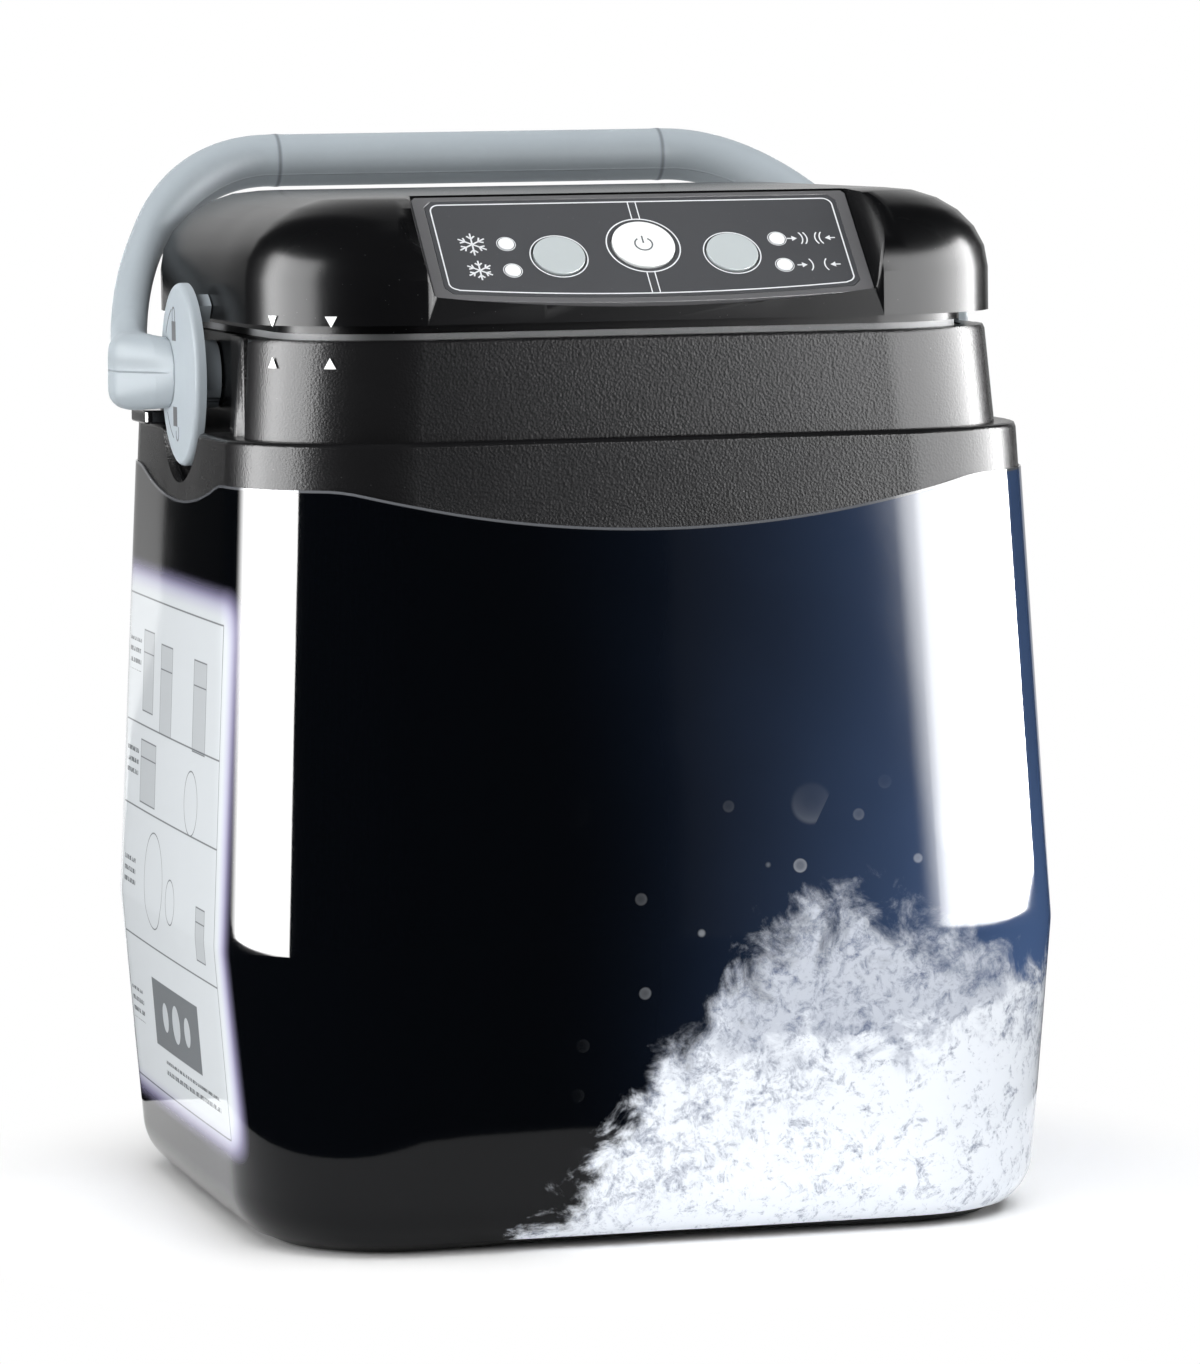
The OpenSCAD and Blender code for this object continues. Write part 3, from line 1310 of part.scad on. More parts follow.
case_shell();
print_sleeve();
base_plate();
rubber_feet();
base_screws();
foam_jacket();
ice_tank();
pivot_pin_left();
pivot_pin_right();
handle_stops();
align_marks_neck();
handle_bow();
hub_left();
hub_right();
hub_screws();
lid_cover();
lid_base();
lid_seal();
lid_foam();
lid_screws();
align_marks_lid();
control_bezel();
panel_overlay();
led_lenses();
cold_button();
power_button();
compression_button();
control_board();
board_screws();
tact_switches();
hose_socket();
socket_screws();
release_latch();
latch_spring();
power_inlet();
pump_stem();
pump_housing();
pump_motor();
impeller();
pump_strainer();
supply_tube();
return_tube();
compressor_body();
compressor_motor();
crank();
diaphragm_head();
air_valve();
air_tube();
wiring_harness();
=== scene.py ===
"""Dresses the cold and compression therapy unit: finishes, printed sleeve, handle, panel and studio."""
import json
import math

import bmesh
import bpy
from mathutils import Matrix, Vector


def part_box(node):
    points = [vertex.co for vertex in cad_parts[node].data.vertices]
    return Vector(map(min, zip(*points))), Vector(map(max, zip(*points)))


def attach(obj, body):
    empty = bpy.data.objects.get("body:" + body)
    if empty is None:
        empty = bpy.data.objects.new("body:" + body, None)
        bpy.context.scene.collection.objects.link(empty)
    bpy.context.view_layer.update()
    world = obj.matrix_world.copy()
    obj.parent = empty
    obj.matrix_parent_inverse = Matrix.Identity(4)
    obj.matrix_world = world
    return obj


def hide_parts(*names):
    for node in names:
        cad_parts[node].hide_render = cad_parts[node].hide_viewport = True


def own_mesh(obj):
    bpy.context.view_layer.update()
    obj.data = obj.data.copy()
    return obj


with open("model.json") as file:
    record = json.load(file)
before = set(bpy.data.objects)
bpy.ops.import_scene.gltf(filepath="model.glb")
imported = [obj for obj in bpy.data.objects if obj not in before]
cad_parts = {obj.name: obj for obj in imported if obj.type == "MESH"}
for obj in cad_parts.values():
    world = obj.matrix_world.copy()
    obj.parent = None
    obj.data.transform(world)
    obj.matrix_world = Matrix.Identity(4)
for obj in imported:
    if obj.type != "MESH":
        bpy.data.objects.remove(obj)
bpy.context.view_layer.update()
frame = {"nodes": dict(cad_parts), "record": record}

bl_info = {
    "name": "Cold therapy unit",
    "version": (1, 0, 0),
    "blender": (4, 5, 0),
    "location": "3D View > Sidebar > Therapy unit",
    "description": "Builds the finished look of a cold and compression therapy unit on its CAD frame",
    "category": "Object",
}

MM = 0.001

# ---- Sizes shared by several pieces, in metres, taken from the frame where it gives them --------

SLEEVE_LOW, SLEEVE_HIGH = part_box("print_sleeve")
LID_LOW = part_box("lid_cover")[0]
HUB_LOW, HUB_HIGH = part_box("hub_right")

BELLY_HALF = SLEEVE_HIGH.x
BELLY_Z = 78.0 * MM
FOOT_HALF = BELLY_HALF - 4.4 * MM
FOOT_ROUND = 15.3 * MM
SHOULDER_HALF = BELLY_HALF - 6.3 * MM
SHOULDER_Z = 209.2 * MM
DEPTH_LESS = SLEEVE_HIGH.x - SLEEVE_HIGH.y
CASE_CORNER = 41.7 * MM
SIDE_BOW = 0.012
SLEEVE_T = 0.4 * MM
SLEEVE_FOOT = SLEEVE_LOW.z
SLEEVE_CREST = 197.4 * MM
FRONT_WAVE = (186.0 * MM, 357.0 * MM)      # height in the middle and radius of the top edge's wave
SIDE_WAVE = (190.4 * MM, 250.0 * MM)
ARCH_W, ARCH_H, CASE_LIFT = 120.0 * MM, 2.7 * MM, 0.4 * MM

PIVOT = Vector((0.0, 0.0, (HUB_LOW.z + HUB_HIGH.z) / 2))
HUB_FACE = HUB_HIGH.x

BAR_BACK, BAR_UP = 112.0 * MM, 55.0 * MM   # the folded bar, behind and above the pivot
ARM_ROOT = Vector((114.2 * MM, 30.0 * MM, 1.4 * MM))
BAR_HALF, BAR_R = 58.0 * MM, 7.2 * MM
BLEND_LOSS = 0.2 * MM                       # what the blending takes off the bow
ARM_HALF_T, ARM_HALF_W = 6.5 * MM, 4.8 * MM
BEND_OUT, BEND_IN = 30.0 * MM, 5.5 * MM
GRIP_RING, GRIP_RING_X = 0.3 * MM, 56.0 * MM
ARM_THINNING = 3.0                          # how soon the arm is down to its own width, below the bar
FILLET_REACH = 17.0 * MM                    # how far from an arm's root the joint is smoothed
FILLET_SMOOTHING = 0.018                    # smoothing steps times the blend size
BRACKET = Vector((12.6 * MM, 18.0 * MM, 21.0 * MM))
BRACKET_ROUND = 5.0 * MM
LOCK_SIGN = (4.6, 11.4, 2.6)                # across, up and half size of a padlock on a hub, in mm

PANEL_TILT = math.radians(43.0)
PANEL_FOOT = Vector((0.0, LID_LOW.y - 0.4 * MM, LID_LOW.z + 5.25 * MM))
BUTTON_U, BUTTON_V, BUTTON_R = 23.1 * MM, 16.6 * MM, 6.8 * MM
POWER_V, POWER_R = 20.0 * MM, 8.3 * MM
LED_U, LED_V = 36.2 * MM, (11.8 * MM, 21.5 * MM)
OVERLAY_HALF, OVERLAY_V = 55.15 * MM, (4.0 * MM, 37.5 * MM)
PANEL_BOW = 2.7 * MM
PRINT_T = 0.05 * MM
CARD_HEIGHTS = (0.02, 0.75)
TENT_REACH = 2.6

# The camera that took the view: lens axis through a point beside the case, seen from the left front
CAMERA_AZIMUTH = math.radians(14.6262)
CAMERA_ELEVATION = math.radians(5.2331)
CAMERA_ROLL = math.radians(-0.76862)
CAMERA_DISTANCE = 1.794297
CAMERA_AIM = (0.0076837, 0.1374795)        # right of the middle, and above the floor
FOCAL_PIXELS, IMAGE_SIZE, SENSOR = 6613.892, (1200, 1364), 36.0


# ---- Properties ---------------------------------------------------------------------------------

class CaseLooks(bpy.types.PropertyGroup):
    plastic: bpy.props.FloatVectorProperty(
        name="Case plastic", description="Colour of the textured case moulding",
        subtype="COLOR", size=3, default=(0.0065, 0.0065, 0.007))
    lid: bpy.props.FloatVectorProperty(
        name="Lid plastic", description="Colour of the satin lid moulding",
        subtype="COLOR", size=3, default=(0.0035, 0.0036, 0.004))
    night: bpy.props.FloatVectorProperty(
        name="Sleeve, dark end", description="Colour of the printed sleeve at its dark end",
        subtype="COLOR", size=3, default=(0.0012, 0.0016, 0.0024))
    sky: bpy.props.FloatVectorProperty(
        name="Sleeve, blue end", description="Colour of the printed sleeve at its blue end",
        subtype="COLOR", size=3, default=(0.10, 0.175, 0.37))
    frost: bpy.props.FloatVectorProperty(
        name="Sleeve, drifts", description="Colour of the pale drifts printed low on the sleeve",
        subtype="COLOR", size=3, default=(0.90, 0.94, 1.0))
    texture: bpy.props.FloatProperty(
        name="Texture depth", description="Depth of the fine texture in the case plastic",
        unit="LENGTH", default=0.00006, min=0.0, max=0.001)


class HandleLooks(bpy.types.PropertyGroup):
    plastic: bpy.props.FloatVectorProperty(
        name="Handle plastic", description="Colour of the blue-grey handle and hubs",
        subtype="COLOR", size=3, default=(0.335, 0.375, 0.405))
    voxel: bpy.props.FloatProperty(
        name="Blend size", description="Grid that the bar and its brackets are blended on",
        unit="LENGTH", default=0.0007, min=0.0004, max=0.003)


class PanelLooks(bpy.types.PropertyGroup):
    bezel: bpy.props.FloatVectorProperty(
        name="Bezel", description="Colour of the panel's surround",
        subtype="COLOR", size=3, default=(0.095, 0.095, 0.100))
    label: bpy.props.FloatVectorProperty(
        name="Label", description="Colour of the panel's printed film",
        subtype="COLOR", size=3, default=(0.045, 0.047, 0.052))
    button: bpy.props.FloatVectorProperty(
        name="Grey buttons", description="Colour of the two round grey buttons",
        subtype="COLOR", size=3, default=(0.42, 0.46, 0.47))
    ink: bpy.props.FloatVectorProperty(
        name="Print", description="Colour of the printed signs",
        subtype="COLOR", size=3, default=(0.72, 0.74, 0.76))


class StageLooks(bpy.types.PropertyGroup):
    ambient: bpy.props.FloatProperty(
        name="Ambient", description="Level of the even studio light", default=0.55, min=0.0, max=2.0)
    overhead: bpy.props.FloatProperty(
        name="Overhead lamp", description="Power of the soft lamp above", unit="POWER",
        default=18.0, min=0.0)
    front: bpy.props.FloatProperty(
        name="Front lamp", description="Power of the soft lamp at the front left", unit="POWER",
        default=12.0, min=0.0)
    side: bpy.props.FloatProperty(
        name="Side lamp", description="Power of the soft lamp at the left", unit="POWER",
        default=10.0, min=0.0)
    sheen: bpy.props.FloatProperty(
        name="Side cards", description="Brightness of the tall cards mirrored in the sleeve",
        default=56.0, min=0.0)


LOOKS = {"case_looks": CaseLooks, "handle_looks": HandleLooks,
         "panel_looks": PanelLooks, "stage_looks": StageLooks}


def looks(name):
    return getattr(bpy.context.scene, name)


# ---- Meshes -------------------------------------------------------------------------------------

def new_object(name, mesh):
    made = bpy.data.objects.new(name, mesh)
    bpy.context.scene.collection.objects.link(made)
    return made


def object_from_bmesh(name, bm):
    mesh = bpy.data.meshes.new(name)
    bm.to_mesh(mesh)
    bm.free()
    return new_object(name, mesh)


def apply_modifiers(piece):
    """Turns a piece with modifiers into a plain mesh."""
    graph = bpy.context.evaluated_depsgraph_get()
    mesh = bpy.data.meshes.new_from_object(piece.evaluated_get(graph), depsgraph=graph)
    piece.modifiers.clear()
    piece.data = mesh
    return piece


def shade(piece, angle):
    """Smooth shading, with edges sharper than the angle kept sharp and flat faces kept flat."""
    mesh = piece.data
    mesh.polygons.foreach_set("use_smooth", [True] * len(mesh.polygons))
    mesh.set_sharp_from_angle(angle=math.radians(angle))
    weighted = piece.modifiers.new("weighted", "WEIGHTED_NORMAL")
    weighted.mode = "FACE_AREA"
    weighted.weight = 50
    weighted.keep_sharp = True
    return apply_modifiers(piece)


def finished_copy(node, angle=40.0, bevel=0.0):
    """A merged copy of a CAD node, with its flat faces joined and its hard edges softened."""
    bm = bmesh.new()
    bm.from_mesh(frame["nodes"][node].data)
    bmesh.ops.remove_doubles(bm, verts=bm.verts, dist=2e-6)
    bmesh.ops.dissolve_limit(bm, angle_limit=math.radians(0.4), verts=bm.verts, edges=bm.edges)
    piece = object_from_bmesh(node + "_finish", bm)
    if bevel > 0:
        edge = piece.modifiers.new("edge", "BEVEL")
        edge.width = bevel
        edge.segments = 2
        edge.limit_method = "ANGLE"
        edge.angle_limit = math.radians(angle)
        apply_modifiers(piece)
    return shade(piece, angle)


def body_of_node(node):
    return next(body for body, nodes in frame["record"]["behaviour"]["bodies"].items() if node in nodes)


def fit(piece, body, material, stands_for=()):
    """Gives a piece its material and its body, and hides the CAD nodes that it stands for."""
    piece.data.materials.clear()
    piece.data.materials.append(material)
    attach(piece, body)
    if stands_for:
        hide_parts(*stands_for)
    return piece


def dress(nodes, material, angle=40.0, bevel=0.0):
    """Finished copies of several CAD nodes in one material."""
    for node in nodes:
        fit(finished_copy(node, angle, bevel), body_of_node(node), material, [node])


# ---- The case's shape ---------------------------------------------------------------------------

def case_half(z):
    """Half width of the case at a height: rounded foot, swelling to the belly, drawn in above."""
    if z < FOOT_ROUND:
        return FOOT_HALF - FOOT_ROUND + math.sqrt(FOOT_ROUND ** 2 - (FOOT_ROUND - max(z, 0.0)) ** 2)
    if z < BELLY_Z:
        return FOOT_HALF + (BELLY_HALF - FOOT_HALF) * (z - FOOT_ROUND) / (BELLY_Z - FOOT_ROUND)
    return BELLY_HALF + (SHOULDER_HALF - BELLY_HALF) * (z - BELLY_Z) / (SHOULDER_Z - BELLY_Z)


def case_corner(z):
    return CASE_CORNER - (FOOT_HALF - case_half(z) if z < FOOT_ROUND else 0.0)


def outline(half_x, half_y, corner, corner_steps=20, side_steps=26):
    """Plan outline of the case: a rounded rectangle whose sides bow in towards the corners."""
    points = []
    for quarter in range(4):
        cx = half_x - corner if quarter in (0, 3) else corner - half_x
        cy = half_y - corner if quarter < 2 else corner - half_y
        arc = [(cx + corner * math.cos(a), cy + corner * math.sin(a))
               for a in (math.pi / 2 * (quarter + k / corner_steps) for k in range(corner_steps + 1))]
        points += arc
        end = arc[-1]
        turn = (quarter + 1) % 4
        far = {1: (corner - half_x, half_y), 2: (-half_x, corner - half_y),
               3: (half_x - corner, -half_y), 0: (half_x, half_y - corner)}[turn]
        points += [(end[0] + (far[0] - end[0]) * k / side_steps, end[1] + (far[1] - end[1]) * k / side_steps)
                   for k in range(1, side_steps)]
    return [(x * (1 - SIDE_BOW * (y / half_y) ** 2), y * (1 - SIDE_BOW * (x / half_x) ** 2))
            for x, y in points]


def wave_height(x, y):
    """Height of the sleeve's top edge over a place in the plan."""
    front = FRONT_WAVE[0] + FRONT_WAVE[1] - math.sqrt(FRONT_WAVE[1] ** 2 - x * x)
    side = SIDE_WAVE[0] + SIDE_WAVE[1] - math.sqrt(SIDE_WAVE[1] ** 2 - y * y)
    soft = 1.2 * MM
    lowest = soft_min(min(front, side), max(front, side), soft)
    return soft_min(lowest, SLEEVE_CREST, soft)


def soft_min(a, b, soft):
    """The lower of two heights, with the corner between them rounded off."""
    gap = max(soft - abs(a - b), 0.0) / soft
    return min(a, b) - gap * gap * soft / 4


def arch_height(x):
    """Height of the case's bottom edge, which is arched in the middle of the front and the back."""
    radius = ((ARCH_W / 2) ** 2 + ARCH_H ** 2) / (2 * ARCH_H)
    if abs(x) >= ARCH_W / 2:
        return 0.0
    return CASE_LIFT + ARCH_H - radius + math.sqrt(radius ** 2 - x * x)


def sleeve_rows(low, high, round_rows=14, foot_rows=10, side_rows=34):
    """Heights of the sleeve's rows: close together in the rounded foot and beside the crease."""
    bend = 0.8 * MM                               # half the height of the crease's rounding
    rows = [low + (FOOT_ROUND - low) * (k / round_rows) ** 1.5 for k in range(round_rows)]
    rows += [FOOT_ROUND + (BELLY_Z - bend - FOOT_ROUND) * k / foot_rows for k in range(foot_rows + 1)]
    return rows + [BELLY_Z + bend + (high - BELLY_Z - bend) * k / side_rows for k in range(side_rows + 1)]


def sleeve_mesh():
    """The printed sleeve: outer and inner skin between a low edge and the waved top edge."""
    bm = bmesh.new()
    below_edge = bm.verts.layers.float.new("below_edge")
    plan = outline(BELLY_HALF, BELLY_HALF - DEPTH_LESS, CASE_CORNER)
    heights = [sleeve_rows(max(SLEEVE_FOOT, arch_height(x) if abs(y) > abs(x) * 0.6 else 0.0),
                           wave_height(x, y)) for x, y in plan]
    rows = []
    for inset in (0.0, SLEEVE_T):
        skin = []
        for j in range(len(heights[0])):
            ring = []
            for k in range(len(plan)):
                z = heights[k][j]
                half = case_half(z) - inset
                px, py = outline(half, half - DEPTH_LESS, case_corner(z) - inset)[k]
                vertex = bm.verts.new((px, py, z))
                vertex[below_edge] = (heights[k][-1] - z) / MM
                ring.append(vertex)
            skin.append(ring)
        rows.append(skin)
    outer, inner = rows
    count = len(outer[0])
    for skin, flip in ((outer, False), (inner, True)):
        for a, b in zip(skin, skin[1:]):
            for k in range(count):
                n = (k + 1) % count
                quad = [a[k], a[n], b[n], b[k]]
                bm.faces.new(quad[::-1] if flip else quad)
    for k in range(count):
        n = (k + 1) % count
        bm.faces.new([outer[0][n], outer[0][k], inner[0][k], inner[0][n]])
        bm.faces.new([outer[-1][k], outer[-1][n], inner[-1][n], inner[-1][k]])
    return bm


# ---- The handle's shape -------------------------------------------------------------------------

def bow_frame():
    """Directions of the bow's plane: from the arms' roots to the bar, and out of the plane."""
    reach = Vector((0.0, BAR_BACK - ARM_ROOT.y, BAR_UP - ARM_ROOT.z))
    along = reach.normalized()
    return reach.length, along, Vector((0.0, -along.z, along.y))


def bow_point(x, t):
    return PIVOT + Vector((x, ARM_ROOT.y, ARM_ROOT.z)) + bow_frame()[1] * t


def bow_path(steps=44, bar_steps=20):
    """Centre line of bar and arms, each point with its share of the way down the arm."""
    length = bow_frame()[0]
    ends = [(BAR_HALF, length), (BAR_HALF + BEND_OUT, length), (ARM_ROOT.x - BEND_IN, length / 2),
            (ARM_ROOT.x, 0.0)]
    weights = [lambda u: (1 - u) ** 3, lambda u: 3 * u * (1 - u) ** 2,
               lambda u: 3 * u * u * (1 - u), lambda u: u ** 3]
    half = []
    for i in range(steps + 1):
        u = i / steps
        half.append((sum(w(u) * p[0] for w, p in zip(weights, ends)),
                     sum(w(u) * p[1] for w, p in zip(weights, ends)), u * u))
    left = [(-x, t, s) for x, t, s in reversed(half)]
    places = sorted([-BAR_HALF + 2 * BAR_HALF * k / bar_steps for k in range(1, bar_steps)]
                    + [side * GRIP_RING_X + k * 0.5 * MM for side in (-1, 1) for k in range(-2, 3)])
    bar = [(x, length, 0.0) for x in places]
    return [(bow_point(x, t), s) for x, t, s in left + bar + half]


def mix(a, b, share):
    return a + (b - a) * share


def bow_mesh(bm, sides=40):
    """The swept bar and arms."""
    path = bow_path()
    out = bow_frame()[2]
    rings = []
    for i, (centre, share) in enumerate(path):
        before = path[max(i - 1, 0)][0]
        after = path[min(i + 1, len(path) - 1)][0]
        along = (after - before).normalized()
        across = along.cross(out).normalized()
        ring = GRIP_RING * max(0.0, 1.0 - abs(abs(centre.x) - GRIP_RING_X) / MM) if share < 0.01 else 0.0
        thick = mix(BAR_R, ARM_HALF_T, share) + BLEND_LOSS + ring
        wide = mix(BAR_R, ARM_HALF_W, min(1.0, ARM_THINNING * share)) + BLEND_LOSS + ring
        rings.append([bm.verts.new(centre + out * thick * math.cos(a) + across * wide * math.sin(a))
                      for a in (2 * math.pi * k / sides for k in range(sides))])
    for a, b in zip(rings, rings[1:]):
        for k in range(sides):
            n = (k + 1) % sides
            bm.faces.new([a[k], b[k], b[n], a[n]])
    bm.faces.new(rings[0])
    bm.faces.new(rings[-1][::-1])
    bmesh.ops.recalc_face_normals(bm, faces=bm.faces)


def bracket_points(side):
    """Points that the bracket's hull spans, from the hub disc to the rounded end block."""
    points = []
    for k in range(72):
        a = 2 * math.pi * k / 72
        points.append((side * HUB_FACE, 13 * MM + (BRACKET.z / 2 - MM) * math.cos(a),
                       PIVOT.z + (BRACKET.z / 2 - MM) * math.sin(a)))
    reach = BRACKET / 2
    for dx in (-1, 1):
        for dy in (-1, 1):
            for dz in (-1, 1):
                centre = Vector((HUB_FACE + reach.x + dx * (reach.x - BRACKET_ROUND),
                                 ARM_ROOT.y + dy * (reach.y - BRACKET_ROUND),
                                 PIVOT.z + dz * (reach.z - BRACKET_ROUND)))
                for i in range(13):
                    for k in range(24):
                        tilt, turn = math.pi * i / 12, 2 * math.pi * k / 24
                        point = centre + BRACKET_ROUND * Vector((
                            math.sin(tilt) * math.cos(turn), math.sin(tilt) * math.sin(turn),
                            math.cos(tilt)))
                        points.append((side * point.x, point.y, point.z))
    return points


def joined_handle(voxel):
    """Bar, arms and brackets blended into one moulding."""
    bm = bmesh.new()
    bow_mesh(bm)
    for side in (-1, 1):
        hull = bmesh.new()
        for point in bracket_points(side):
            hull.verts.new(point)
        made = bmesh.ops.convex_hull(hull, input=hull.verts)
        bmesh.ops.delete(hull, geom=[v for v in made["geom_interior"] if isinstance(v, bmesh.types.BMVert)],
                         context="VERTS")
        mesh = bpy.data.meshes.new("bracket")
        hull.to_mesh(mesh)
        hull.free()
        bm.from_mesh(mesh)
        bpy.data.meshes.remove(mesh)
    piece = object_from_bmesh("handle_moulding", bm)
    remesh = piece.modifiers.new("blend", "REMESH")
    remesh.mode = "VOXEL"
    remesh.voxel_size = voxel
    remesh.use_smooth_shade = True
    apply_modifiers(piece)
    joints = piece.vertex_groups.new(name="joints")
    roots = [Vector((side * (ARM_ROOT.x - 2 * MM), ARM_ROOT.y, PIVOT.z + BRACKET.z / 2)) for side in (-1, 1)]
    for vertex in piece.data.vertices:
        away = min((vertex.co - root).length for root in roots)
        if away < FILLET_REACH:
            joints.add([vertex.index], min(1.0, 2.0 - 2.0 * away / FILLET_REACH), "REPLACE")
    for name, factor, repeats, only in (("ease", 0.5, 6, ""),
                                        ("fillet", 0.7, round(FILLET_SMOOTHING / voxel), "joints")):
        smooth = piece.modifiers.new(name, "SMOOTH")
        smooth.factor = factor
        smooth.iterations = repeats
        smooth.vertex_group = only
    apply_modifiers(piece)
    mark_seam(piece)
    return piece


def mark_seam(piece):
    """Stores how far each point lies from the mould's parting plane, in millimetres."""
    out = bow_frame()[2]
    start = bow_point(0.0, 0.0)
    seam = piece.data.attributes.new("seam", "FLOAT", "POINT")
    seam.data.foreach_set("value", [(vertex.co - start).dot(out) / MM for vertex in piece.data.vertices])


def handle_plastic(colour):
    """The handle's plastic, with the parting line and the brackets' low crease."""
    material = plastic("handle_plastic", colour, 0.46, 1.10, 2600.0, 0.00001, 0.05)
    tree = material.node_tree
    shader = tree.nodes["Principled BSDF"]
    grain = next(node for node in tree.nodes if node.type == "BUMP")
    x, y, z = add(tree, "ShaderNodeSeparateXYZ", {"Vector": object_place(tree)}).outputs
    away = add(tree, "ShaderNodeAttribute", attribute_name="seam").outputs["Fac"]
    on_arm = remap(tree, z, PIVOT.z + 0.016, PIVOT.z + 0.020)
    line = both(tree, remap(tree, maths(tree, "ABSOLUTE", away), 0.35, 0.1), on_arm)
    step = remap(tree, z, PIVOT.z + 0.0004, PIVOT.z - 0.0001)
    slope = remap(tree, z, PIVOT.z + 0.0050, PIVOT.z + 0.0004, 1.0, 0.0, smooth=True)
    on_bracket = both(tree, remap(tree, maths(tree, "ABSOLUTE", x), HUB_FACE + 0.0005, HUB_FACE + 0.0040),
                      remap(tree, y, 0.0410, 0.0340))
    crease = both(tree, maths(tree, "MAXIMUM", step, slope), on_bracket)
    height = maths(tree, "MULTIPLY_ADD", line, 0.25, crease)
    ring = both(tree, band(tree, maths(tree, "ABSOLUTE", x), GRIP_RING_X, 0.0005, 0.0003),
                remap(tree, y, 0.090, 0.095))
    plain = shader.inputs["Base Color"].links[0].from_socket
    tree.links.new(blend_colour(tree, maths(tree, "MULTIPLY", ring, 0.55), plain, (0.06, 0.07, 0.08)),
                   shader.inputs["Base Color"])
    bump = add(tree, "ShaderNodeBump", {"Height": height, "Strength": 1.0, "Distance": 0.0006,
                                        "Normal": grain.outputs["Normal"]})
    tree.links.new(bump.outputs["Normal"], shader.inputs["Normal"])
    return material


# ---- The panel ----------------------------------------------------------------------------------

PANEL_MATRIX = Matrix.Translation(PANEL_FOOT) @ Matrix.Rotation(PANEL_TILT, 4, "X")


class FlatPrint:
    """Collects flat shapes as thin plates, given in millimetres on a plane."""

    def __init__(self):
        self.bm = bmesh.new()

    def shape(self, points):
        self.bm.faces.new([self.bm.verts.new((x * MM, y * MM, 0.0)) for x, y in points])

    def line(self, points, width, closed=False):
        """A line of even width along points, as one strip of quads."""
        count = len(points)
        rows = []
        for i, (x, y) in enumerate(points):
            if closed:
                before, after = points[i - 1], points[(i + 1) % count]
            else:
                before, after = points[max(i - 1, 0)], points[min(i + 1, count - 1)]
            ax, ay = x - before[0], y - before[1]
            bx, by = after[0] - x, after[1] - y
            la, lb = math.hypot(ax, ay) or 1.0, math.hypot(bx, by) or 1.0
            dx, dy = (ax / la if la else 0) + bx / lb, ay / la + by / lb
            length = math.hypot(dx, dy) or 1.0
            nx, ny = -dy / length, dx / length
            spread = width / 2
            if (ax or ay) and (bx or by):
                bend = nx * -ay / la + ny * ax / la
                spread = width / 2 / max(0.5, abs(bend))
            rows.append([self.bm.verts.new(((x + s * nx * spread) * MM, (y + s * ny * spread) * MM, 0.0))
                         for s in (-1, 1)])
        pairs = list(zip(rows, rows[1:])) + ([(rows[-1], rows[0])] if closed else [])
        for a, b in pairs:
            self.bm.faces.new([a[0], b[0], b[1], a[1]])

    def arc(self, x, y, radius, start, end, width, steps=32):
        closed = end - start >= 360
        count = steps if closed else steps + 1
        points = [(x + radius * math.cos(math.radians(start + (end - start) * k / steps)),
                   y + radius * math.sin(math.radians(start + (end - start) * k / steps)))
                  for k in range(count)]
        self.line(points, width, closed)

    def disc(self, x, y, radius, steps=28):
        self.shape([(x + radius * math.cos(2 * math.pi * k / steps),
                     y + radius * math.sin(2 * math.pi * k / steps)) for k in range(steps)])

    def piece(self, name, matrix, thickness=PRINT_T):
        """The shapes as plates of the given thickness on a plane's matrix."""
        bm = self.bm
        bmesh.ops.recalc_face_normals(bm, faces=bm.faces)
        for face in bm.faces:
            if face.normal.z < 0:
                face.normal_flip()
        made = bmesh.ops.extrude_face_region(bm, geom=bm.faces[:])
        lifted = [v for v in made["geom"] if isinstance(v, bmesh.types.BMVert)]
        bmesh.ops.translate(bm, verts=lifted, vec=(0, 0, thickness))
        bmesh.ops.recalc_face_normals(bm, faces=bm.faces)
        bm.transform(matrix)
        return object_from_bmesh(name, bm)


def panel_edge(half, foot, top, round_r, bow):
    """A plate's outline on the panel, in millimetres: bowed below, straight above."""
    points = []
    for k in range(25):
        u = -half + round_r + 2 * (half - round_r) * k / 24
        points.append((u, foot - bow * (1 - (u / half) ** 2)))
    for cx, cy, start in ((half - round_r, foot + round_r, -90), (half - round_r, top - round_r, 0),
                          (round_r - half, top - round_r, 90), (round_r - half, foot + round_r, 180)):
        steps = range(1, 8) if start in (-90, 180) else range(0, 9)
        points += [(cx + round_r * math.cos(math.radians(start + 90 * k / 8)),
                    cy + round_r * math.sin(math.radians(start + 90 * k / 8))) for k in steps]
    return points


def flake(print_, x, y, radius, width):
    """A plain six-armed frost sign."""
    for arm in range(3):
        a = math.radians(30 + 60 * arm)
        print_.line([(x - radius * math.cos(a), y - radius * math.sin(a)),
                     (x + radius * math.cos(a), y + radius * math.sin(a))], width)
    for arm in range(6):
        a = math.radians(30 + 60 * arm)
        px, py = x + radius / 2 * math.cos(a), y + radius / 2 * math.sin(a)
        twig = 0.36 * radius
        for turn in (-45, 45):
            b = a + math.radians(turn)
            print_.line([(px, py), (px + twig * math.cos(b), py + twig * math.sin(b))], width)


def arrow(print_, x, y, length, direction, width):
    tip = x + direction * length
    print_.line([(x, y), (tip, y)], width)
    print_.shape([(tip + direction * 1.1, y), (tip - direction * 0.3, y + 0.9),
                  (tip - direction * 0.3, y - 0.9)])


# ---- Shader nodes -------------------------------------------------------------------------------

def add(tree, kind, inputs=None, **settings):
    """Adds a node; inputs are sockets to link or values, by name or number."""
    made = tree.nodes.new(kind)
    for key, value in settings.items():
        setattr(made, key, value)
    for key, value in (inputs or {}).items():
        if isinstance(value, bpy.types.NodeSocket):
            tree.links.new(value, made.inputs[key])
        else:
            made.inputs[key].default_value = value
    return made


def maths(tree, operation, a, b=0.5, c=None):
    inputs = {0: a, 1: b}
    if c is not None:
        inputs[2] = c
    return add(tree, "ShaderNodeMath", inputs, operation=operation).outputs[0]


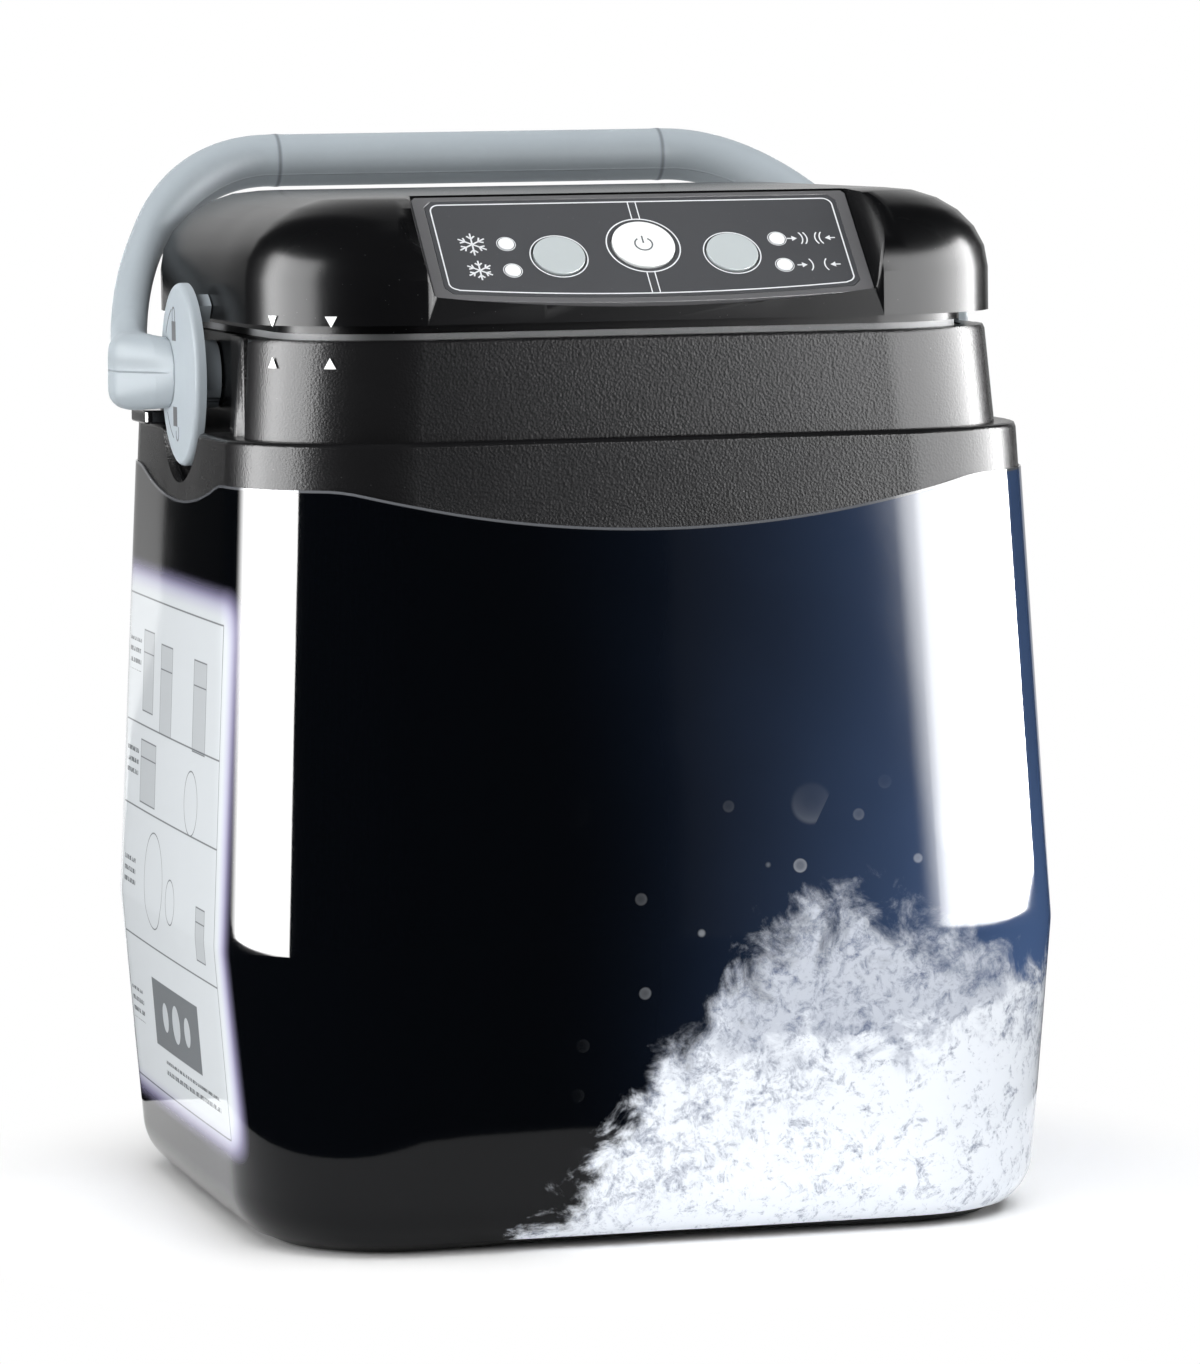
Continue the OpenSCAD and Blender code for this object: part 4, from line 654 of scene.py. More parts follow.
def remap(tree, value, low, high, to_low=0.0, to_high=1.0, smooth=False):
    return add(tree, "ShaderNodeMapRange",
               {"Value": value, "From Min": low, "From Max": high, "To Min": to_low, "To Max": to_high},
               interpolation_type="SMOOTHSTEP" if smooth else "LINEAR").outputs["Result"]


def blend_colour(tree, share, a, b):
    made = tree.nodes.new("ShaderNodeMix")
    made.data_type = "RGBA"
    for key, value in (("Factor", share), ("A", a), ("B", b)):
        sockets = [s for s in made.inputs if s.name == key and s.enabled]
        if isinstance(value, bpy.types.NodeSocket):
            tree.links.new(value, sockets[0])
        elif isinstance(value, (int, float)):
            sockets[0].default_value = value
        else:
            sockets[0].default_value = tuple(value)[:3] + (1.0,)
    return next(s for s in made.outputs if s.enabled)


def noise_of(tree, place, scale, detail=3.0, roughness=0.5, distortion=0.0):
    return add(tree, "ShaderNodeTexNoise", {"Vector": place, "Scale": scale, "Detail": detail,
                                            "Roughness": roughness, "Distortion": distortion}).outputs["Fac"]


def object_place(tree):
    return add(tree, "ShaderNodeTexCoord").outputs["Object"]


def group(name, inputs, outputs):
    """A new shader node group with number inputs and outputs; returns it with its ends."""
    tree = bpy.data.node_groups.new(name, "ShaderNodeTree")
    for label, value in inputs.items():
        socket = tree.interface.new_socket(label, in_out="INPUT", socket_type="NodeSocketFloat")
        socket.default_value = value
    for label, kind in outputs.items():
        tree.interface.new_socket(label, in_out="OUTPUT", socket_type=kind)
    return tree, tree.nodes.new("NodeGroupInput"), tree.nodes.new("NodeGroupOutput")


def moulded_grain():
    """Fine pebbled grain of a moulded plastic: its height, and how it mottles the colour."""
    if "moulded_grain" in bpy.data.node_groups:
        return bpy.data.node_groups["moulded_grain"]
    tree, start, end = group("moulded_grain", {"Scale": 2400.0, "Mottle": 60.0},
                             {"Height": "NodeSocketFloat", "Tone": "NodeSocketFloat"})
    place = object_place(tree)
    cells = add(tree, "ShaderNodeTexVoronoi", {"Vector": place, "Scale": start.outputs["Scale"]})
    fine = noise_of(tree, place, start.outputs["Scale"], 2.0)
    height = maths(tree, "ADD", maths(tree, "MULTIPLY", cells.outputs["Distance"], 0.6),
                   maths(tree, "MULTIPLY", fine, 0.5))
    tone = noise_of(tree, place, start.outputs["Mottle"], 4.0, 0.6)
    tree.links.new(height, end.inputs["Height"])
    tree.links.new(tone, end.inputs["Tone"])
    return tree


def handling_marks():
    """Faint wipe marks and dust that change a surface's gloss."""
    if "handling_marks" in bpy.data.node_groups:
        return bpy.data.node_groups["handling_marks"]
    tree, start, end = group("handling_marks", {"Scale": 14.0, "Amount": 0.5},
                             {"Marks": "NodeSocketFloat", "Dust": "NodeSocketFloat"})
    place = object_place(tree)
    soft = noise_of(tree, place, start.outputs["Scale"], 5.0, 0.62, 0.8)
    upright = add(tree, "ShaderNodeMapping", {"Vector": place, "Scale": (1.0, 1.0, 6.0)}).outputs["Vector"]
    streaks = noise_of(tree, upright, maths(tree, "MULTIPLY", start.outputs["Scale"], 3.0), 3.0)
    wiped = maths(tree, "ADD", maths(tree, "MULTIPLY", soft, 0.7), maths(tree, "MULTIPLY", streaks, 0.3))
    marks = remap(tree, wiped, 0.35, 0.7)
    specks = add(tree, "ShaderNodeTexVoronoi", {"Vector": place, "Scale": 420.0}).outputs["Distance"]
    dust = maths(tree, "MULTIPLY", maths(tree, "LESS_THAN", specks, 0.05), start.outputs["Amount"])
    tree.links.new(maths(tree, "MULTIPLY", marks, start.outputs["Amount"]), end.inputs["Marks"])
    tree.links.new(dust, end.inputs["Dust"])
    return tree


def use_group(tree, made, **values):
    placed = add(tree, "ShaderNodeGroup")
    placed.node_tree = made
    for label, value in values.items():
        placed.inputs[label.capitalize()].default_value = value
    return placed


def new_material(name):
    material = bpy.data.materials.new(name)
    material.use_nodes = True
    tree = material.node_tree
    shader = tree.nodes["Principled BSDF"]
    return material, tree, shader


def plastic(name, colour, roughness=0.4, ior=1.35, grain=2400.0, depth=0.00003, mottle=0.12, marks=0.5):
    """A moulded plastic with grain, slight mottling and handling marks."""
    material, tree, shader = new_material(name)
    texture = use_group(tree, moulded_grain(), scale=grain, mottle=70.0)
    wear = use_group(tree, handling_marks(), scale=14.0, amount=marks)
    dark = tuple(c * (1.0 - mottle) for c in colour)
    light = tuple(c * (1.0 + mottle) for c in colour)
    tone = blend_colour(tree, texture.outputs["Tone"], dark, light)
    dusty = blend_colour(tree, maths(tree, "MULTIPLY", wear.outputs["Dust"], 0.25), tone, (0.4, 0.4, 0.4))
    tree.links.new(dusty, shader.inputs["Base Color"])
    gloss = remap(tree, wear.outputs["Marks"], 0.0, 1.0, roughness * 0.9, roughness * 1.18)
    tree.links.new(gloss, shader.inputs["Roughness"])
    bump = add(tree, "ShaderNodeBump", {"Height": texture.outputs["Height"], "Strength": 1.0,
                                        "Distance": depth})
    tree.links.new(bump.outputs["Normal"], shader.inputs["Normal"])
    shader.inputs["IOR"].default_value = ior
    return material


def metal(name, colour, roughness=0.35):
    """Brushed or turned metal with fine scratches."""
    material, tree, shader = new_material(name)
    place = object_place(tree)
    long_way = add(tree, "ShaderNodeMapping", {"Vector": place, "Scale": (1.0, 1.0, 24.0)}).outputs["Vector"]
    scratches = noise_of(tree, long_way, 900.0, 4.0, 0.6)
    wear = use_group(tree, handling_marks(), scale=60.0, amount=0.8)
    tone = blend_colour(tree, scratches, tuple(c * 0.8 for c in colour), colour)
    tree.links.new(tone, shader.inputs["Base Color"])
    tree.links.new(remap(tree, wear.outputs["Marks"], 0.0, 1.0, roughness * 0.8, roughness * 1.4),
                   shader.inputs["Roughness"])
    bump = add(tree, "ShaderNodeBump", {"Height": scratches, "Strength": 0.5, "Distance": 0.00001})
    tree.links.new(bump.outputs["Normal"], shader.inputs["Normal"])
    shader.inputs["Metallic"].default_value = 1.0
    return material


def foam(name, colour):
    """Rigid cell foam."""
    material, tree, shader = new_material(name)
    place = object_place(tree)
    cells = add(tree, "ShaderNodeTexVoronoi", {"Vector": place, "Scale": 700.0}).outputs["Distance"]
    tone = blend_colour(tree, cells, tuple(c * 0.75 for c in colour), colour)
    tree.links.new(tone, shader.inputs["Base Color"])
    bump = add(tree, "ShaderNodeBump", {"Height": cells, "Strength": 1.0, "Distance": 0.0004})
    tree.links.new(bump.outputs["Normal"], shader.inputs["Normal"])
    shader.inputs["Roughness"].default_value = 0.85
    return material


def band(tree, value, centre, half, soft=0.00012):
    """1 where a value lies within half of the centre."""
    away = maths(tree, "ABSOLUTE", maths(tree, "SUBTRACT", value, centre))
    return remap(tree, away, half - soft, half + soft, 1.0, 0.0)


def both(tree, *masks):
    made = masks[0]
    for mask in masks[1:]:
        made = maths(tree, "MULTIPLY", made, mask)
    return made


def either(tree, *masks):
    made = masks[0]
    for mask in masks[1:]:
        made = maths(tree, "MAXIMUM", made, mask)
    return made


def beyond_box(tree, y, z, centre, half):
    """How far a place lies outside a box on the side, along the worse of its two directions."""
    reach = [maths(tree, "SUBTRACT", maths(tree, "ABSOLUTE", maths(tree, "SUBTRACT", value, middle)), size)
             for value, middle, size in zip((y, z), centre, half)]
    return maths(tree, "MAXIMUM", *reach)


def from_centre(tree, y, z, centre):
    """Distance from a centre on the side."""
    place = add(tree, "ShaderNodeCombineXYZ", {"X": y, "Y": z}).outputs[0]
    return add(tree, "ShaderNodeVectorMath", {0: place, 1: (*centre, 0.0)}, operation="DISTANCE"
               ).outputs["Value"]


# the guide's parts on the left side: centre (y, z), then half sizes or radius, in metres
GUIDE_RULES = (0.0275, 0.0675, 0.1035, 0.1265, 0.1615)
GUIDE_BOXES = (((0.033, 0.1415), (0.0075, 0.0110)), ((0.007, 0.1385), (0.0080, 0.0120)),
               ((-0.038, 0.1380), (0.0080, 0.0120)), ((0.030, 0.1140), (0.0110, 0.0085)),
               ((-0.046, 0.0790), (0.0055, 0.0070)))
GUIDE_RINGS = (((-0.030, 0.1120), 0.0085), ((0.018, 0.0860), 0.0130), ((-0.006, 0.0830), 0.0060))
GUIDE_PANEL = ((-0.0030, 0.0315), (0.0495, 0.0092))
GUIDE_DISCS = ((0.0120, 0.0040), (-0.0030, 0.0052), (-0.0180, 0.0040))
GUIDE_BLOCKS = (0.1450, 0.1150, 0.0860, 0.0480)
LINE_HALF = 0.00018


def side_guide():
    """The guide printed on the left side: pale sheet, frame, plain drawings and bars for its lines."""
    outputs = ("Sheet", "Halo", "Grey", "Dark", "Pale")
    tree, start, end = group("side_guide", {}, {label: "NodeSocketFloat" for label in outputs})
    x, y, z = add(tree, "ShaderNodeSeparateXYZ", {"Vector": object_place(tree)}).outputs
    on_left = remap(tree, x, -0.095, -0.100, smooth=True)
    reach_y = maths(tree, "SUBTRACT", maths(tree, "ABSOLUTE", y), 0.0715)
    reach_z = maths(tree, "SUBTRACT", maths(tree, "ABSOLUTE", maths(tree, "SUBTRACT", z, 0.0965)), 0.0715)
    edge = maths(tree, "SMOOTH_MAX", reach_y, reach_z, 0.014)
    halo = remap(tree, edge, 0.0045, -0.003, smooth=True)
    sheet = remap(tree, edge, 0.0015, -0.0055, smooth=True)

    inside_y, inside_z = band(tree, y, 0.0, 0.064), band(tree, z, 0.0945, 0.067)
    rules = either(tree, *[band(tree, z, level, 0.00022) for level in GUIDE_RULES])
    sides = band(tree, maths(tree, "ABSOLUTE", y), 0.064, 0.0002)
    drawings = [both(tree, rules, inside_y), both(tree, sides, inside_z)]

    fills = []
    for centre, half in GUIDE_BOXES:
        box = beyond_box(tree, y, z, centre, half)
        drawings.append(band(tree, box, 0.0, LINE_HALF))
        drawings.append(both(tree, band(tree, z, centre[1] + half[1] * 0.45, 0.00016),
                             band(tree, y, centre[0], half[0])))
        fills.append(remap(tree, box, 0.0001, -0.0001))
    for centre, radius in GUIDE_RINGS:
        drawings.append(band(tree, from_centre(tree, y, z, centre), radius, LINE_HALF))

    rows = maths(tree, "LESS_THAN", maths(tree, "FRACT", maths(tree, "MULTIPLY", z, 330.0)), 0.42)
    along = add(tree, "ShaderNodeMapping", {"Vector": object_place(tree), "Scale": (0.0, 900.0, 330.0)})
    broken = maths(tree, "GREATER_THAN", noise_of(tree, along.outputs["Vector"], 1.0, 1.0), 0.44)
    column = band(tree, y, 0.0530, 0.0085)
    blocks = either(tree, *[band(tree, z, middle, 0.0045, 0.0001) for middle in GUIDE_BLOCKS])
    low_block = both(tree, band(tree, z, 0.0345, 0.0028, 0.0001), band(tree, y, -0.0190, 0.0360))
    drawings.append(both(tree, rows, broken, either(tree, both(tree, column, blocks), low_block)))
    drawings.append(both(tree, band(tree, y, *GUIDE_PANEL[0]), band(tree, z, *GUIDE_PANEL[1])))

    discs = [remap(tree, from_centre(tree, y, z, (cy, GUIDE_PANEL[1][0])), radius + 0.0001, radius - 0.0001)
             for cy, radius in GUIDE_DISCS]
    masks = (sheet, halo, either(tree, *fills), either(tree, *drawings), either(tree, *discs))
    for label, value in zip(outputs, masks):
        tree.links.new(both(tree, value, on_left), end.inputs[label])
    return tree


# soft round lights in the sleeve's print: cell scale, size in its cell, share left out, strength
ROUND_LIGHTS = ((21.0, 0.34, 0.55, 0.30), (48.0, 0.30, 0.62, 0.42), (120.0, 0.24, 0.70, 0.55))
# drifts from back to front: height, swell, phase, paleness, softness of the crest
DRIFTS = ((0.064, 0.012, 0.4, 0.50, 0.018), (0.048, 0.010, 2.1, 0.80, 0.012),
          (0.032, 0.008, 4.0, 1.05, 0.010))


def sleeve_print():
    """Glossy printed film: night to blue, with pale drifts and soft round flakes low down."""
    colours = looks("case_looks")
    material, tree, shader = new_material("sleeve_print")
    place = object_place(tree)
    x, y, z = add(tree, "ShaderNodeSeparateXYZ", {"Vector": place}).outputs

    # night to blue from left to right
    cloud = noise_of(tree, place, 11.0, 3.0, 0.5)
    across = maths(tree, "ADD", x, maths(tree, "MULTIPLY", maths(tree, "SUBTRACT", cloud, 0.5), 0.03))
    share = maths(tree, "POWER", remap(tree, across, -0.045, 0.125), 2.8)
    lower = remap(tree, z, 0.19, 0.05, 0.75, 1.1)
    sky = blend_colour(tree, maths(tree, "MULTIPLY", share, lower), colours.night, colours.sky)

    # soft round lights of several sizes, fewer and fainter higher up
    for scale, size, chance, strength in ROUND_LIGHTS:
        cells = add(tree, "ShaderNodeTexVoronoi", {"Vector": place, "Scale": scale, "Randomness": 1.0})
        pick = add(tree, "ShaderNodeSeparateColor", {"Color": cells.outputs["Color"]}).outputs[0]
        disc = remap(tree, cells.outputs["Distance"], size, size * 0.78, smooth=True)
        rim = remap(tree, cells.outputs["Distance"], size * 0.4, size * 0.85, 0.55, 1.0)
        height = remap(tree, z, 0.125, 0.065, 0.0, 1.0, smooth=True)
        side = remap(tree, x, -0.030, 0.045, smooth=True)
        level = both(tree, disc, rim, maths(tree, "GREATER_THAN", pick, chance), height, side)
        sky = blend_colour(tree, maths(tree, "MULTIPLY", level, strength), sky, colours.frost)

    # drifts of frost, one behind another, each with a bright crest
    crystals = noise_of(tree, place, 210.0, 8.0, 0.78, 0.6)
    sparkle = noise_of(tree, place, 900.0, 3.0, 0.7)
    clump = noise_of(tree, place, 75.0, 6.0, 0.66, 0.5)
    for number, (lift, swell, phase, pale, soft) in enumerate(DRIFTS):
        roll = maths(tree, "SINE", maths(tree, "MULTIPLY_ADD", x, 34.0 + 9.0 * number, phase))
        bank = remap(tree, x, -0.084 - 0.006 * number, 0.045, -1.0, 0.2, smooth=True)
        rise = maths(tree, "MULTIPLY", bank, 0.075)
        crest = maths(tree, "ADD", maths(tree, "MULTIPLY_ADD", roll, swell, lift), rise)
        rough = maths(tree, "MULTIPLY", maths(tree, "SUBTRACT", clump, 0.5), 0.060)
        under = maths(tree, "SUBTRACT", maths(tree, "ADD", crest, rough), z)
        cover = remap(tree, under, -0.002, soft, smooth=True)
        glow = remap(tree, under, 0.05, 0.0, 0.85, 1.0)
        grain = remap(tree, maths(tree, "MULTIPLY_ADD", sparkle, 0.25, crystals), 0.45, 0.66, 0.30, 1.35)
        level = maths(tree, "MULTIPLY", maths(tree, "MULTIPLY", glow, grain), pale)
        frosty = blend_colour(tree, level, (0.045, 0.075, 0.17), colours.frost)
        sky = blend_colour(tree, cover, sky, frosty)

    # the pale guide on the left side, with its soft lavender edge
    guide = add(tree, "ShaderNodeGroup", node_tree=side_guide()).outputs
    sky = blend_colour(tree, guide["Halo"], sky, (0.46, 0.43, 0.66))
    sky = blend_colour(tree, guide["Sheet"], sky, (0.80, 0.84, 0.87))
    sky = blend_colour(tree, maths(tree, "MULTIPLY", guide["Grey"], 0.45), sky, (0.42, 0.44, 0.46))
    sky = blend_colour(tree, maths(tree, "MULTIPLY", guide["Dark"], 0.8), sky, (0.10, 0.11, 0.12))
    sky = blend_colour(tree, guide["Pale"], sky, (0.66, 0.70, 0.73))

    # the film's cut edge shows as a thin grey line along the top
    cut = add(tree, "ShaderNodeAttribute", attribute_name="below_edge").outputs["Fac"]
    sky = blend_colour(tree, remap(tree, cut, 0.75, 0.55), sky, (0.11, 0.115, 0.125))

    wear = use_group(tree, handling_marks(), scale=9.0, amount=0.4)
    tree.links.new(sky, shader.inputs["Base Color"])
    tree.links.new(remap(tree, wear.outputs["Marks"], 0.0, 1.0, 0.04, 0.08), shader.inputs["Roughness"])
    shader.inputs["IOR"].default_value = 1.30
    ripple = noise_of(tree, place, 26.0, 1.0)
    creep = noise_of(tree, place, 420.0, 2.0, 0.5)
    height = maths(tree, "MULTIPLY_ADD", creep, 0.035, ripple)
    bump = add(tree, "ShaderNodeBump", {"Height": height, "Strength": 0.4, "Distance": 0.00012})
    tree.links.new(bump.outputs["Normal"], shader.inputs["Normal"])
    return material


# ---- Screws -------------------------------------------------------------------------------------

PANEL_DOWN = Vector((0.0, math.sin(PANEL_TILT), -math.cos(PANEL_TILT)))

# each group of screws: head radius, head height, shank radius in millimetres, and the way that its
# heads face on the right; on the left the first number changes its sign
SCREWS = {
    "base_screws": (3.0, 1.1, 1.4, (0, 0, -1)),
    "lid_screws": (2.5, 1.8, 1.4, (0, 0, -1)),
    "hub_screws": (2.4, 1.0, 1.3, (-1, 0, 0)),
    "board_screws": (2.0, 1.2, 1.0, PANEL_DOWN),
    "socket_screws": (2.0, 1.0, 1.0, (0, 1, 0)),
}


def loose_parts(node):
    """The points of each separate solid in a CAD node."""
    bm = bmesh.new()
    bm.from_mesh(frame["nodes"][node].data)
    bmesh.ops.remove_doubles(bm, verts=bm.verts, dist=2e-6)
    parts, seen = [], set()
    for first in bm.verts:
        if first in seen:
            continue
        seen.add(first)
        part, queue = [], [first]
        while queue:
            vertex = queue.pop()
            part.append(vertex.co.copy())
            for edge in vertex.link_edges:
                other = edge.other_vert(vertex)
                if other not in seen:
                    seen.add(other)
                    queue.append(other)
        parts.append(part)
    bm.free()
    return parts


def screw_tree():
    """Geometry nodes that set a socket-head screw on every point, facing the point's aim."""
    if "screw_rows" in bpy.data.node_groups:
        return bpy.data.node_groups["screw_rows"]
    tree = bpy.data.node_groups.new("screw_rows", "GeometryNodeTree")
    tree.interface.new_socket("Geometry", in_out="INPUT", socket_type="NodeSocketGeometry")
    for label in ("Head Radius", "Head Height", "Shank Radius", "Shank Length"):
        tree.interface.new_socket(label, in_out="INPUT", socket_type="NodeSocketFloat")
    tree.interface.new_socket("Material", in_out="INPUT", socket_type="NodeSocketMaterial")
    tree.interface.new_socket("Geometry", in_out="OUTPUT", socket_type="NodeSocketGeometry")
    given = tree.nodes.new("NodeGroupInput").outputs
    end = tree.nodes.new("NodeGroupOutput")

    def rod(vertices, radius, depth, middle):
        made = add(tree, "GeometryNodeMeshCylinder", {"Vertices": vertices, "Radius": radius, "Depth": depth})
        shift = add(tree, "ShaderNodeCombineXYZ", {"Z": middle}).outputs[0]
        return add(tree, "GeometryNodeTransform", {"Geometry": made.outputs["Mesh"], "Translation": shift}
                   ).outputs["Geometry"]

    head_h, shank_l = given["Head Height"], given["Shank Length"]
    head = rod(28, given["Head Radius"], head_h, maths(tree, "MULTIPLY", head_h, -0.5))
    drive = rod(6, maths(tree, "MULTIPLY", given["Head Radius"], 0.55), head_h, 0.0)
    socket = add(tree, "GeometryNodeMeshBoolean", {"Mesh 1": head, "Mesh 2": drive}, operation="DIFFERENCE")
    below = maths(tree, "SUBTRACT", maths(tree, "MULTIPLY", shank_l, -0.5), head_h)
    shank = rod(20, given["Shank Radius"], shank_l, below)
    screw = add(tree, "GeometryNodeJoinGeometry", {"Geometry": socket.outputs["Mesh"]})
    tree.links.new(shank, screw.inputs["Geometry"])
    aim = add(tree, "GeometryNodeInputNamedAttribute", {"Name": "aim"}, data_type="FLOAT_VECTOR")
    turn = add(tree, "FunctionNodeAlignRotationToVector", {"Vector": aim.outputs["Attribute"]}, axis="Z")
    placed = add(tree, "GeometryNodeInstanceOnPoints", {
        "Points": given["Geometry"], "Instance": screw.outputs["Geometry"],
        "Rotation": turn.outputs["Rotation"]})
    real = add(tree, "GeometryNodeRealizeInstances", {"Geometry": placed.outputs["Instances"]})
    dressed = add(tree, "GeometryNodeSetMaterial", {"Geometry": real.outputs["Geometry"],
                                                    "Material": given["Material"]})
    tree.links.new(dressed.outputs["Geometry"], end.inputs["Geometry"])
    return tree


def screw_row(node, sizes, material):
    """Screws in the places of a CAD node's screws."""
    head_r, head_h, shank_r, facing = sizes
    points, aims, length = [], [], 0.0
    for part in loose_parts(node):
        middle = sum(part, Vector()) / len(part)
        aim = Vector((math.copysign(1, middle.x) * facing[0], facing[1], facing[2]))
        reach = [(point - middle).dot(aim) for point in part]
        length = max(reach) - min(reach)
        points.append(middle + aim * max(reach))
        aims.append(aim)
    mesh = bpy.data.meshes.new(node)
    mesh.from_pydata(points, [], [])
    aim_layer = mesh.attributes.new("aim", "FLOAT_VECTOR", "POINT")
    for index, aim in enumerate(aims):
        aim_layer.data[index].vector = aim
    piece = new_object(node + "_finish", mesh)
    tree = screw_tree()
    modifier = piece.modifiers.new("screws", "NODES")
    modifier.node_group = tree
    values = {"Head Radius": head_r * MM, "Head Height": head_h * MM, "Shank Radius": shank_r * MM,
              "Shank Length": length - head_h * MM, "Material": material}
    for item in tree.interface.items_tree:
        if item.in_out == "INPUT" and item.name in values:
            modifier[item.identifier] = values[item.name]
    apply_modifiers(piece)
    return shade(piece, 35.0)


# ---- Operators ----------------------------------------------------------------------------------

class BuildStep(bpy.types.Operator):
    """One step of the unit's dressing"""
    bl_options = {"REGISTER", "UNDO"}

    def execute(self, context):
        self.make(context)
        return {"FINISHED"}


class THERAPY_OT_case(BuildStep):
    """Textured case moulding with its base plate, feet, screws and handle stops"""
    bl_idname = "therapy.case"
    bl_label = "Case"

    def make(self, context):
        colours = looks("case_looks")
        black = plastic("case_plastic", colours.plastic, 0.27, 1.15, 1500.0, colours.texture)
        rubber = plastic("soft_rubber", (0.012, 0.012, 0.012), 0.5, 1.4, 1800.0, 0.00005)
        gloss = plastic("stop_plastic", (0.006, 0.006, 0.007), 0.16, 1.45, 1800.0, 0.00001)
        dress(["case_shell"], black, 48.0)
        dress(["base_plate"], black, 40.0)
        dress(["rubber_feet"], rubber, 40.0)
        dress(["handle_stops"], gloss, 40.0, 0.0006)
        steel = metal("screw_steel", (0.55, 0.56, 0.58), 0.3)
        for node, sizes in SCREWS.items():
            fit(screw_row(node, sizes, steel), body_of_node(node), steel, [node])
        dress(["pivot_pin_left", "pivot_pin_right"], metal("pin_steel", (0.6, 0.61, 0.62), 0.2),
              35.0, 0.0002)


class THERAPY_OT_sleeve(BuildStep):
    """Glossy printed sleeve round the case"""
    bl_idname = "therapy.sleeve"
    bl_label = "Printed sleeve"

    def make(self, context):
        piece = object_from_bmesh("printed_sleeve", sleeve_mesh())
        shade(piece, 30.0)
        fit(piece, "case", sleeve_print(), ["print_sleeve"])


class THERAPY_OT_handle(BuildStep):
    """Blue-grey handle bow with its brackets and hub discs"""
    bl_idname = "therapy.handle"
    bl_label = "Handle"

    def make(self, context):
        colours = looks("handle_looks")
        grey = handle_plastic(colours.plastic)
        voxel = colours.voxel * 1.0
        piece = joined_handle(voxel)
        shade(piece, 60.0)
        fit(piece, "handle", grey, ["handle_bow"])
        dress(["hub_left", "hub_right"], grey, 40.0)
        dark = plastic("lock_ink", (0.035, 0.037, 0.04), 0.45, 1.3, marks=0.2)
        for side in (-1, 1):
            turn = Matrix.Rotation(side * math.pi / 2, 4, "Z") @ Matrix.Rotation(math.pi / 2, 4, "X")
            face = Matrix.Translation((side * (HUB_FACE - 0.01 * MM), 0.0, PIVOT.z)) @ turn
            name = "lock_print_right" if side > 0 else "lock_print_left"
            fit(self.lock_signs(side).piece(name, face), "handle", dark)

    def lock_signs(self, side):
        """A closed padlock above and an open one below, each with a thin arc beside it."""
        sheet = FlatPrint()
        for up in (1, -1):
            across, height, half = LOCK_SIGN
            u, v = side * across, up * height
            sheet.shape([(u + a * half, v + b * half) for a, b in ((-1, -1), (1, -1), (1, 1), (-1, 1))])
            shift = 0.0 if up > 0 else -side * half
            bow = [(u + shift + 1.7 * math.cos(a), v + up * (4.6 + 1.7 * math.sin(a)))
                   for a in (math.pi * k / 10 for k in range(11))]
            leg = v + up * half
            sheet.line([(bow[0][0], leg)] + bow + [(bow[-1][0], leg if up > 0 else bow[-1][1] + 0.8)], 0.5)
            middle = 51 if side > 0 else 129
            sheet.arc(0, 0, 18.6, up * middle - 16, up * middle + 16, 0.4, 16)
        return sheet


class THERAPY_OT_lid(BuildStep):
    """Satin lid with its floor tub, seal and marks"""
    bl_idname = "therapy.lid"
    bl_label = "Lid"

    def make(self, context):
        colours = looks("case_looks")
        satin = plastic("lid_plastic", colours.lid, 0.24, 1.13, 2600.0, 0.00001)
        dress(["lid_cover"], satin, 35.0)
        dress(["lid_base"], satin, 35.0)
        dress(["lid_seal"], plastic("seal_rubber", (0.04, 0.042, 0.045), 0.6, 1.4), 35.0)
        dress(["align_marks_neck", "align_marks_lid"],
              plastic("mark_ink", (0.85, 0.86, 0.86), 0.45, 1.4, marks=0.2), 35.0)
        dress(["lid_foam", "foam_jacket"], foam("cell_foam", (0.72, 0.66, 0.50)), 35.0)
        dress(["ice_tank"], plastic("tank_plastic", (0.62, 0.65, 0.67), 0.35, 1.45), 35.0)


